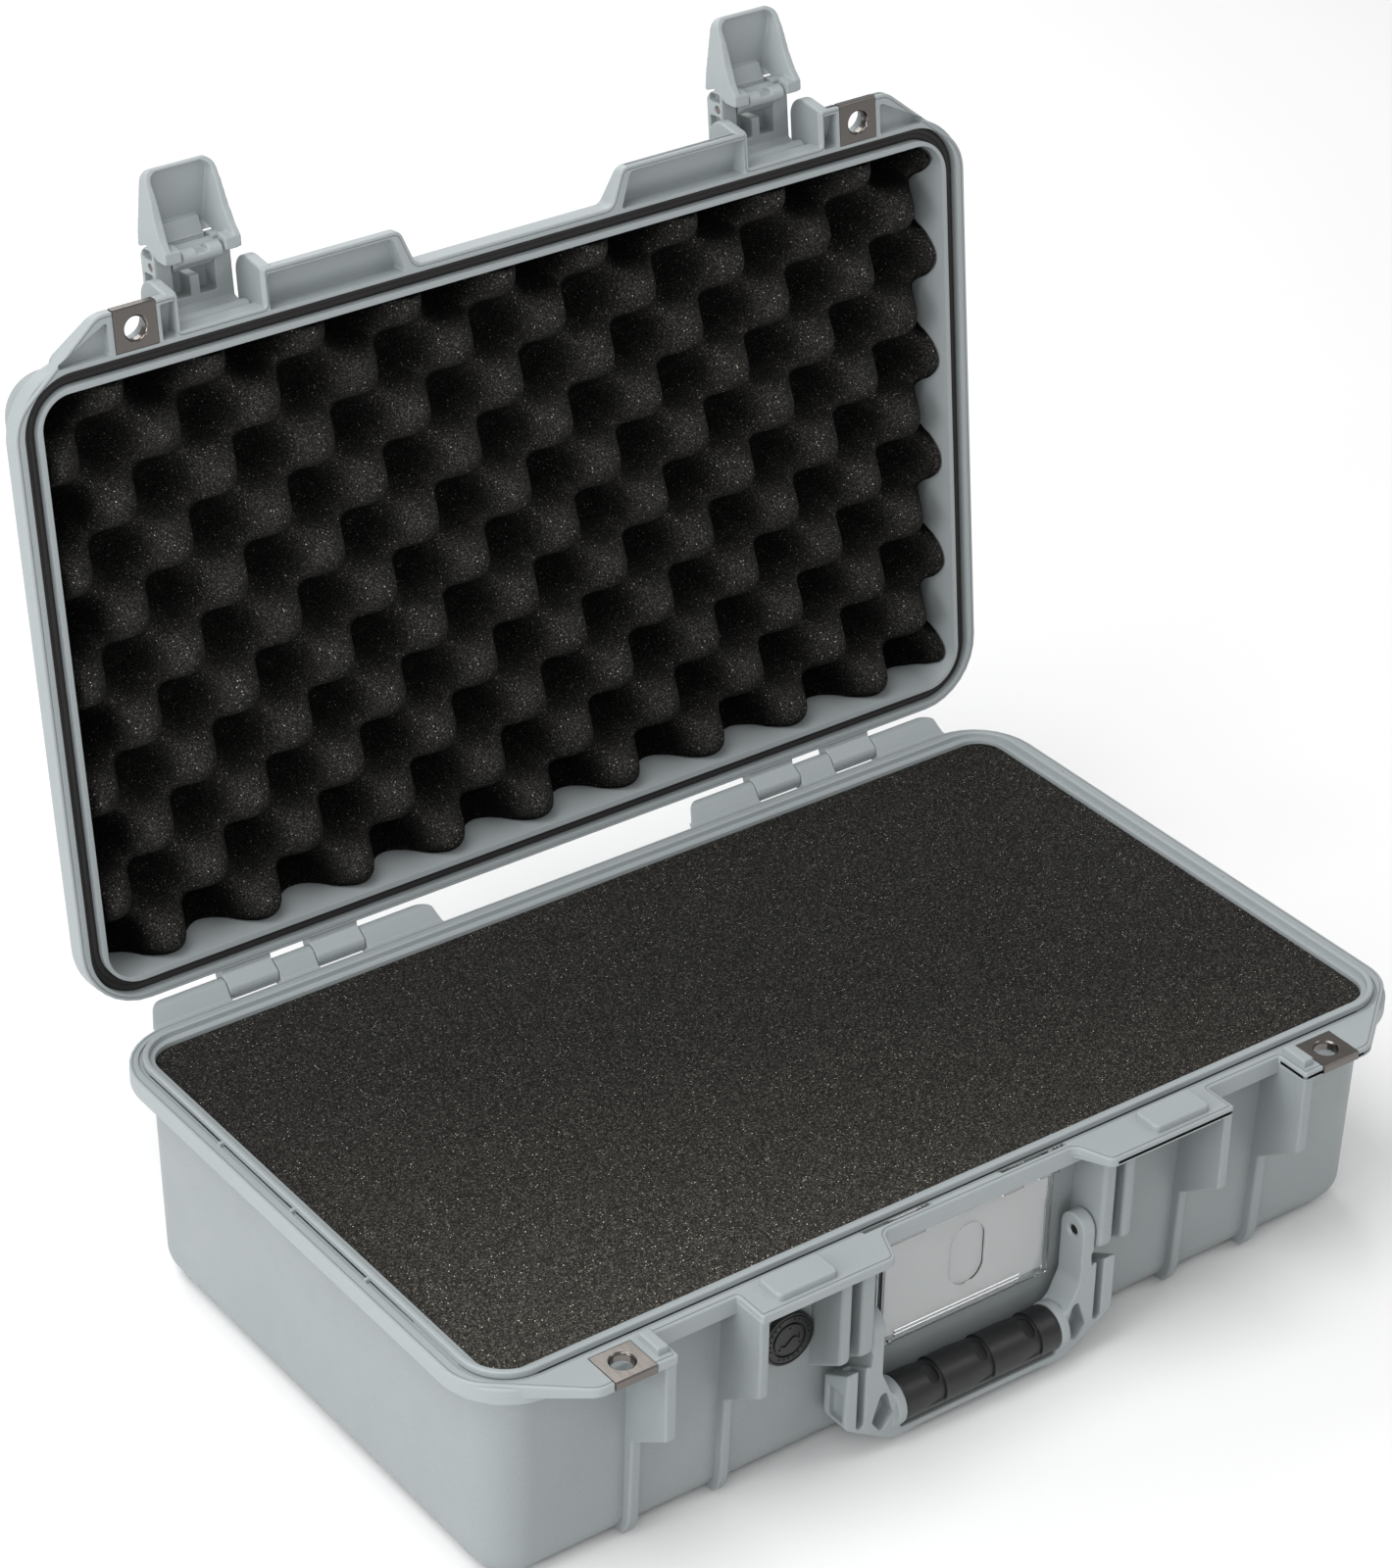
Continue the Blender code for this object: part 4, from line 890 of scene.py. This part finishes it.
def lid_shell():
    rings = tub(WALL, WALL_CORNER, LID_HEIGHT, LID_DRAFT, END_RADIUS, 1, LID_FACE)
    shell = Piece("case_lid", skin(rings), GREY, "moulded_grey", "lid", ("lid_shell",), lid=True)
    add_flange(shell, LID_FACE, 1, LID_RIM_DEPTH, LID_TAB_EDGE, (LID_RIM_DEPTH - 0.0003, LID_BUTTRESS))
    buttress = tab_level(LID_FACE, LID_TAB_EDGE, LID_BUTTRESS, 1)
    for _, side in SIDES:
        outline = [(0.1605, -0.1312), (0.1605, -0.1578), (0.1975, -0.1578), (0.2150, -0.1430),
                   (0.2150, -0.1312)]
        outline = fillet(outline, [0, 0.0012, 0.009, 0.006, 0], 8)
        shell.add(prism(on_side(outline, side), LID_FACE + 0.0014, buttress), 0.0008)
        centre = side * HINGE_X
        for x0, x1 in ((0.1159, 0.1213), (0.1599, 0.1653)):
            shell.add(slab_x(ear_side(), *span(x0, x1, side)), 0.0009)
        for sign in (-1, 1):
            edges = sorted((centre + sign * (KNUCKLE_MID + GAP), centre + sign * KNUCKLE_LID))
            shell.add(slab_x(lid_leaf(), *edges), 0.0005, 2)
    line_in_flange(shell, LID_FACE, 1)
    cavity = tub(CAVITY, CAVITY_CORNER, LID_HEIGHT - FLOOR, LID_DRAFT, 0.011, 1, LID_FACE)
    cavity.insert(0, [(x, y, z - 0.01) for x, y, z in cavity[0]])
    shell.cut(skin(cavity))
    outer = rounded_rectangle(*GASKET_OUTER, 0.024, 16)
    inner = rounded_rectangle(GASKET_OUTER[0] - GASKET_WIDTH, GASKET_OUTER[1] - GASKET_WIDTH, 0.0182, 16)
    depth = GASKET_RECESS + GASKET_THICK + GAP
    shell.cut(band(outer, inner, LID_FACE - 0.002, LID_FACE + depth), 0.0004, 2)
    for _, side in SIDES:
        cut_padlock_seat(shell, side, LID_FACE, 1)
        shell.cut(rod(0, (side * HINGE_X, HINGE.y, HINGE.z), HINGE_PIN + GAP, 0.09, 32))
        shell.cut(rod(0, (side * LATCH_X, LATCH_PIVOT.y, LATCH_PIVOT.z), LATCH_PIN + GAP, 0.0464, 32))
        floor = tab_level(LID_FACE, LID_TAB_EDGE - 0.0018, LID_BUTTRESS - 0.0025, 1)
        bar_pocket = [(0.1617, -0.1554), (0.1686, -0.1554), (0.1686, -0.1404), (0.1617, -0.1404)]
        shell.cut(prism(on_side(fillet(bar_pocket, 0.0009, 5), side), LID_FACE - 0.002, floor), 0.0004, 2)
        long_pocket = [(0.0595, -0.1555), (0.1190, -0.1555), (0.1190, -0.1402), (0.0540, -0.1402)]
        long_pocket = fillet(long_pocket, [0.003, 0.0010, 0.0010, 0.0010], 6)
        shell.cut(prism(on_side(long_pocket, side), LID_FACE - 0.002, floor), 0.0004, 2)
        corner = fillet([(0.1924, -0.1546), (0.2198, -0.1404), (0.1924, -0.1404)], 0.0012, 5)
        shallow = tab_level(LID_FACE, LID_TAB_EDGE - 0.0018, LID_RIM_DEPTH - 0.0028, 1)
        shell.cut(prism(on_side(corner, side), LID_FACE - 0.002, shallow), 0.0004, 2)
        for sign in (-1, 1):
            x = sorted((side * HINGE_X + sign * 0.0125, side * HINGE_X + sign * 0.0305))
            window = block(x, (HINGE.y - 0.0082, 0.17), (HINGE.z + 0.0030, HINGE.z + 0.0070))
            shell.cut(window, 0.0004, 2)
    return texture_walls(shell.done(), lambda z: z > LID_FACE + 0.0105)


def lid_gasket():
    """Solid seal with a rounded working face and a centre groove."""
    z = LID_FACE + GASKET_RECESS
    section = [(0.0, 0.0006), (0.0005, 0.0001), (0.0014, 0.0), (0.0023, 0.0001), (0.0026, 0.0005),
               (0.0029, 0.0005),
               (0.0032, 0.0001), (0.0041, 0.0), (0.0050, 0.0001), (0.0055, 0.0006), (0.0055, GASKET_THICK),
               (0.0, GASKET_THICK)]
    rings = []
    for inward, down in section:
        shrink = GAP + inward
        outline = rounded_rectangle(GASKET_OUTER[0] - shrink, GASKET_OUTER[1] - shrink, 0.024 - shrink, 24)
        rings.append([(p.x, p.y, z + down) for p in outline])
    Piece("seal_ring", skin(rings, looped=True), SEAL, "seal", "lid", ("lid_gasket",), lid=True).done(50)


# ---- handle ----


def soften(piece, voxel, passes, keep=1.0):
    """Melt the joins of a moulded part together, as draft and fillets do on a small moulding."""
    remesh = piece.obj.modifiers.new("melt", "REMESH")
    remesh.mode = "VOXEL"
    remesh.voxel_size = voxel
    smooth = piece.obj.modifiers.new("ease", "SMOOTH")
    smooth.factor = 0.5
    smooth.iterations = passes
    if keep < 1:
        fewer = piece.obj.modifiers.new("fewer", "DECIMATE")
        fewer.ratio = keep


def handle_frame():
    py, pz = HANDLE_PIVOT.y, HANDLE_PIVOT.z
    front, back = py - HANDLE_HALF_DEPTH, py + HANDLE_HALF_DEPTH
    base = GRIP_BASE - GAP
    cheek = GRIP_HALF + GAP
    half = [(0.0, -HANDLE_DROP), (0.0455, -HANDLE_DROP), (HANDLE_HALF_WIDTH, -0.0435),
            (HANDLE_HALF_WIDTH, -0.0140),
            (ARM[1], -0.0140), (ARM[1], -0.0040), (ARM[0], -0.0040), (ARM[0], -0.0230), (0.0465, -0.0345),
            (cheek, -0.0385), (cheek, base), (0.0, base)]
    radii = [0, 0.008, 0.005, 0, 0, 0, 0, 0.008, 0.006, 0.002, 0, 0]
    outline = [(x, pz + z) for x, z in fillet(half, radii, 10)]
    frame = Piece("handle_bail", slab_y(outline, front, back), GREY, "moulded_grey", "handle",
                  ("handle_frame",))
    frame.add(slab_y(on_side(outline, -1), front, back))
    centre = pz + (GRIP_TOP + GRIP_BASE) / 2
    for _, side in SIDES:
        tip = arc_points((py, pz + 0.0010), HANDLE_HALF_DEPTH, 0, 180, 24)
        frame.add(slab_x(tip + [(front, pz - 0.020), (back, pz - 0.020)], *span(*ARM, side)))
        middle = (cheek + 0.0450) / 2
        frame.add(rod(0, (side * middle, py - 0.0004, centre), 0.0107, 0.0450 - cheek, 64))
        clear_top = [(front - 0.001, pz + 0.004), (back + 0.001, pz + 0.004), (back + 0.001, pz - 0.0242),
                     (front - 0.001, pz - 0.0150)]
        frame.cut(slab_x(clear_top, *span(ARM[1] + 0.0001, 0.0800, side)))
        slot = fillet([(0.0602, -0.0100), (0.0642, -0.0100), (0.0642, -0.0462), (0.0602, -0.0462)],
                      [0, 0, 0.0019, 0.0019], 6)
        slot = [(x, pz + z) for x, z in slot]
        frame.cut(slab_y(on_side(slot, side), front - 0.001, back - 0.0035))
        frame.cut(block(span(0.0664, 0.0800, side), (front + 0.0026, back - 0.0030),
                        (pz - 0.0415, pz - 0.0270)))
        drop = fillet([(0.0452, -0.0460), (0.0503, -0.0285), (0.0560, -0.0460), (0.0510, -0.0530)], 0.0020, 6)
        frame.cut(slab_y([(x, pz + z) for x, z in on_side(drop, side)], front - 0.003, front + 0.0075))
        waist = [(0.0630, -0.0080), (0.0575, -0.0180), (0.0568, -0.0100)]
        frame.cut(slab_y([(x, pz + z) for x, z in on_side(waist, side)], front - 0.001, back + 0.001))
        frame.cut(rod(0, (side * 0.055, py, pz), HANDLE_PIN + GAP, 0.02, 32))
        frame.cut(rod(0, (side * (ARM[0] - 0.0002), py, pz), HANDLE_PIN + 0.0011, 0.0016, 32))
    frame.cut(block((-0.0345, 0.0345), (front - 0.001, front + 0.0012),
                    (pz - HANDLE_DROP - 0.001, pz - HANDLE_DROP + 0.0008)))
    soften(frame, 0.00045, 5, 0.35)
    frame.done(60)


def grip_radius(x, a):
    """Three scales along the grip: each ramps down toward the collar of the next."""
    along = (x + 0.0203) % 0.0252
    dip = 0.0
    if along > 0.0120:
        t = (along - 0.0120) / 0.0132
        dip = 0.00085 * (3 * t**2 - 2 * t**3)
    t = min(max((197 - a) / 3, 0), 1)
    collar = 0.00012 if along < 0.0012 else 0.0
    return (GRIP_TOP - GRIP_BASE) / 2 + collar - dip * t


def handle_grip():
    py, pz = HANDLE_PIVOT.y, HANDLE_PIVOT.z
    centre = pz + (GRIP_TOP + GRIP_BASE) / 2
    cuts = [-0.0203 + 0.0252 * k for k in range(0, 3)]
    stations = list(np.linspace(-GRIP_HALF, GRIP_HALF, 109))
    for c in cuts:
        stations += [c - 1e-6, c + 1e-6]
    angles = list(np.linspace(-52, 194, 56)) + [195, 196, 197, 198] + list(np.linspace(202, 232, 8))
    rings = []
    for x in sorted(stations):
        ring = []
        end = GRIP_HALF - abs(x)
        ease = 0.0005 * max(1 - end / 0.0012, 0) ** 2
        for a in angles:
            r = grip_radius(x, a) - ease
            t = math.radians(a)
            ring.append((x, py - 0.0006 + r * math.cos(t), centre + r * math.sin(t)))
        rings.append(ring)
    grip = Piece("grip_sleeve", skin(rings), GRIP, "grip", "handle", ("handle_grip",))
    radius = (GRIP_TOP - GRIP_BASE) / 2
    for c in cuts:
        t = math.radians(112)
        turn = Matrix.Translation((c - 0.0038, py - 0.0006 + radius * math.cos(t),
                                   centre + radius * math.sin(t)))
        turn = turn @ Matrix.Rotation(t - math.pi / 2, 4, "X")
        oval = rounded_rectangle(0.0028, 0.0050, 0.0027, 10)
        pocket = prism(oval, -0.0030, 0.003)
        pocket.transform(turn)
        grip.cut(pocket, 0.0003, 2)
    grip.done(35)


# ---- latches ----


def make_latch(word, side):
    py, pz = LATCH_PIVOT.y, LATCH_PIVOT.z
    qy, qz = LEVER_PIVOT.y, LEVER_PIVOT.z
    middle = side * LATCH_X

    def across(half):
        return (middle - half, middle + half)

    body = Piece("latch_link_" + word, rod(0, (middle, py, pz), 0.0040, 0.0384, 48), GREY, "moulded_grey",
                 "latch_" + word, ("latch_%s_body" % word,), lid=True)
    neck = [(py + 0.0034, pz + 0.0010), (py + 0.0020, pz + 0.0090), (py - 0.0015, pz + 0.0150),
            (py - 0.0045, pz + 0.0171), (py - 0.0171, pz + 0.0171), (py - 0.0171, pz + 0.0146),
            (py - 0.0085, pz + 0.0146), (py - 0.0085, pz + 0.0061), (py - 0.0045, pz + 0.0061),
            (py - 0.0030, pz + 0.0024)]
    body.add(slab_x(neck, *across(BODY_HALF)), 0.0004, 2)
    post_outline = [(py - 0.0050, qz + 0.0075), (py - 0.0050, qz - 0.0035), (qy - 0.0072, qz - 0.0035)]
    post_outline += arc_points((qy, qz), 0.0085, 200, 118, 16)
    for sign in (-1, 1):
        x = sorted((middle + sign * (BODY_HALF - POST_WIDTH), middle + sign * BODY_HALF))
        body.add(slab_x(post_outline, *x), 0.0005, 2)
    body.add(block(across(0.0022), (py - 0.0171, py - 0.0050), (pz + 0.0061, pz + 0.0160)), 0.0004, 2)
    for sign in (-1, 1):
        x = sorted((middle + sign * (BODY_HALF - 0.0036), middle + sign * (BODY_HALF + 0.0050)))
        for y0, y1 in ((-0.0070, -0.0031), (0.0031, 0.0088), (0.0100, 0.0160)):
            window = fillet([(qy + y0, qz - 0.0020), (qy + y1, qz - 0.0020), (qy + y1, qz + 0.0054),
                             (qy + y0, qz + 0.0054)],
                            0.0008, 4)
            body.cut(slab_x(window, *x))
    body.cut(rod(0, (middle, py, pz), LATCH_PIN + GAP, 0.06, 32))
    body.cut(rod(0, (middle, qy, qz), LATCH_PIN + GAP, 0.06, 32))
    soften(body, 0.00028, 3, 0.35)
    body.done(60)

    side_view = [(-0.0070, 0.0085), (-0.0391, 0.0040), (-0.0391, 0.0012), (-0.0372, -0.0002),
                 (-0.0300, -0.0036),
                 (-0.0200, -0.0066), (-0.0130, -0.0098), (-0.0087, -0.0135), (-0.0037, -0.0135),
                 (-0.0042, -0.0060),
                 (-0.0090, 0.0020)]
    radii = [0.0010, 0.0010, 0.0008, 0.002, 0.012, 0.012, 0.010, 0.0010, 0.0010, 0, 0]
    side_view = [(qy + y, qz + z) for y, z in fillet(side_view, radii, 6)]
    lever = Piece("latch_lever_" + word, slab_x(side_view, *across(0.0190)), GREY, "moulded_grey",
                  "lever_" + word, ("latch_%s_lever" % word,), lid=True)
    front_view = [(-0.0175, -0.0020), (-0.0175, -0.0150), (-0.0158, -0.0392), (0.0158, -0.0392),
                  (0.0175, -0.0150), (0.0175, -0.0020)]
    front_view = fillet(front_view, [0, 0.02, 0.0050, 0.0050, 0.02, 0], 12)
    lever.combine(prism([(middle + x, qy + y) for x, y in front_view], qz - 0.03, qz + 0.02), "INTERSECT", 0)
    dish = []
    for near_half, far_half, near, far, level, slope in ((0.0118, 0.0140, -0.0110, -0.0380, 0.0064, 0.1556),
                                                         (0.0150, 0.0144, 0.0000, -0.0384, -0.0160, 0.0)):
        corners = [(near_half, near), (-near_half, near), (-far_half, far), (far_half, far)]
        dish.append([(middle + x, qy + y, qz + level + slope * (y - near))
                     for x, y in fillet(corners, [0, 0, 0.004, 0.004], 10)])
    lever.cut(skin(dish))
    foot = [(-0.0037, -0.0135), (-0.0042, -0.0070), (-0.0100, -0.0070), (-0.0087, -0.0135)]
    for sign in (-1, 1):
        x = sorted((middle + sign * 0.0102, middle + sign * 0.0160))
        lever.add(slab_x([(qy + y, qz + z) for y, z in foot], *x))
    lever.cut(rod(0, (middle, qy, qz), 0.0091, 0.08, 64))
    lever.add(rod(0, (middle, qy, qz), 0.0042, 2 * LEVER_INNER_HALF, 48))
    lever.add(rod(0, (middle, qy - 0.0044, qz - 0.0095), 0.0033, 2 * LEVER_INNER_HALF, 48))
    hook = [(0.0036, -0.0010), (-0.0014, -0.0100), (-0.0070, -0.0080), (-0.0040, 0.0010)]
    lever.add(slab_x([(qy + y, qz + z) for y, z in hook], *across(LEVER_INNER_HALF - 0.0004)))
    neck = [(0.0010, 0.0039), (-0.0115, 0.0078), (-0.0120, 0.0062), (-0.0150, 0.0062), (-0.0150, 0.0040),
            (-0.0040, -0.0008)]
    lever.add(slab_x([(qy + y, qz + z) for y, z in neck], *across(LEVER_INNER_HALF - 0.0004)))
    lever.cut(block(across(0.0028), (qy - 0.0110, qy - 0.0052), (qz - 0.0150, qz - 0.0050)))
    lever.cut(rod(0, (middle, qy, qz), LATCH_PIN + GAP, 0.06, 32))
    soften(lever, 0.00030, 3, 0.35)
    lever.done(60)


# ---- build ----

base_shell()
make_valve()
label()
base_foam()
handle_frame()
handle_grip()
for word, side in SIDES:
    make_padlock_plate("padlock_plate_base_" + word, side, PARTING, -1, "base")
    make_padlock_plate("padlock_plate_lid_" + word, side, LID_FACE, 1, "lid", True)
lid_shell()
lid_gasket()
lid_foam()
for word, side in SIDES:
    make_latch(word, side)
for name, node in frame["nodes"].items():
    if "pin" in name or "nut" in name:
        node.data.materials.clear()
        node.data.materials.append(BLACK if "nut" in name else STEEL)

# ---- floor, lights and camera ----

CAMERA_AT = Vector((-0.9449, -1.2036, 1.1608))
AZIMUTH, ELEVATION, ROLL = (math.radians(a) for a in (-35.33, 32.15, 0.28))


def floor():
    mesh = bpy.data.meshes.new("floor")
    mesh.from_pydata([(-6, -6, -0.0002), (6, -6, -0.0002), (6, 6, -0.0002), (-6, 6, -0.0002)], [],
                     [(0, 1, 2, 3)])
    obj = bpy.data.objects.new("floor", mesh)
    bpy.context.scene.collection.objects.link(obj)
    n = Nodes("pale_floor")
    n.set(Base_Color=n.mix(n.noise(3.0), (0.86, 0.86, 0.86), (0.88, 0.88, 0.88)), Roughness=0.9)
    n.set(Normal=n.bump(n.noise(400.0), 0.05, 0.0002))
    mesh.materials.append(n.material)


def area_light(name, at, target, size, power):
    data = bpy.data.lights.new(name, "AREA")
    data.shape = "RECTANGLE"
    data.size, data.size_y = size
    data.energy = power
    obj = bpy.data.objects.new(name, data)
    bpy.context.scene.collection.objects.link(obj)
    obj.location = at
    obj.rotation_euler = (Vector(target) - Vector(at)).to_track_quat("-Z", "Y").to_euler()


def make_camera():
    data = bpy.data.cameras.new("camera")
    data.sensor_width = 36.0
    data.lens = 101.31
    data.shift_x, data.shift_y = 0.0687, 0.0328
    data.clip_end = 50.0
    camera = bpy.data.objects.new("camera", data)
    bpy.context.scene.collection.objects.link(camera)
    back = Vector((math.sin(AZIMUTH) * math.cos(ELEVATION), -math.cos(AZIMUTH) * math.cos(ELEVATION),
                   math.sin(ELEVATION)))
    right = Vector((0, 0, 1)).cross(back).normalized()
    turn = Matrix((right, back.cross(right), back)).transposed() @ Matrix.Rotation(ROLL, 3, "Z")
    camera.matrix_world = Matrix.Translation(CAMERA_AT) @ turn.to_4x4()
    bpy.context.scene.camera = camera


floor()
area_light("key", (-1.0, 0.0, 2.4), (0, 0, 0.1), (1.5, 1.5), 35)
area_light("side", (-2.4, -0.4, 0.9), (0, 0, 0.1), (1.2, 1.2), 25)
area_light("corner", (-0.75, -0.85, 0.95), (-0.15, -0.1, 0.1), (0.5, 0.5), 2.6)
area_light("fill", (1.5, -1.3, 1.9), (0, 0.1, 0.2), (0.9, 0.9), 6)
area_light("back", (0.4, 2.0, 1.6), (0, 0, 0.2), (1.8, 1.2), 22)
world = bpy.data.worlds.new("studio")
world.use_nodes = True
world.node_tree.nodes["Background"].inputs["Color"].default_value = (1.0, 1.0, 1.0, 1.0)
world.node_tree.nodes["Background"].inputs["Strength"].default_value = 0.50
bpy.context.scene.world = world
bpy.context.scene.view_settings.view_transform = "Standard"
make_camera()
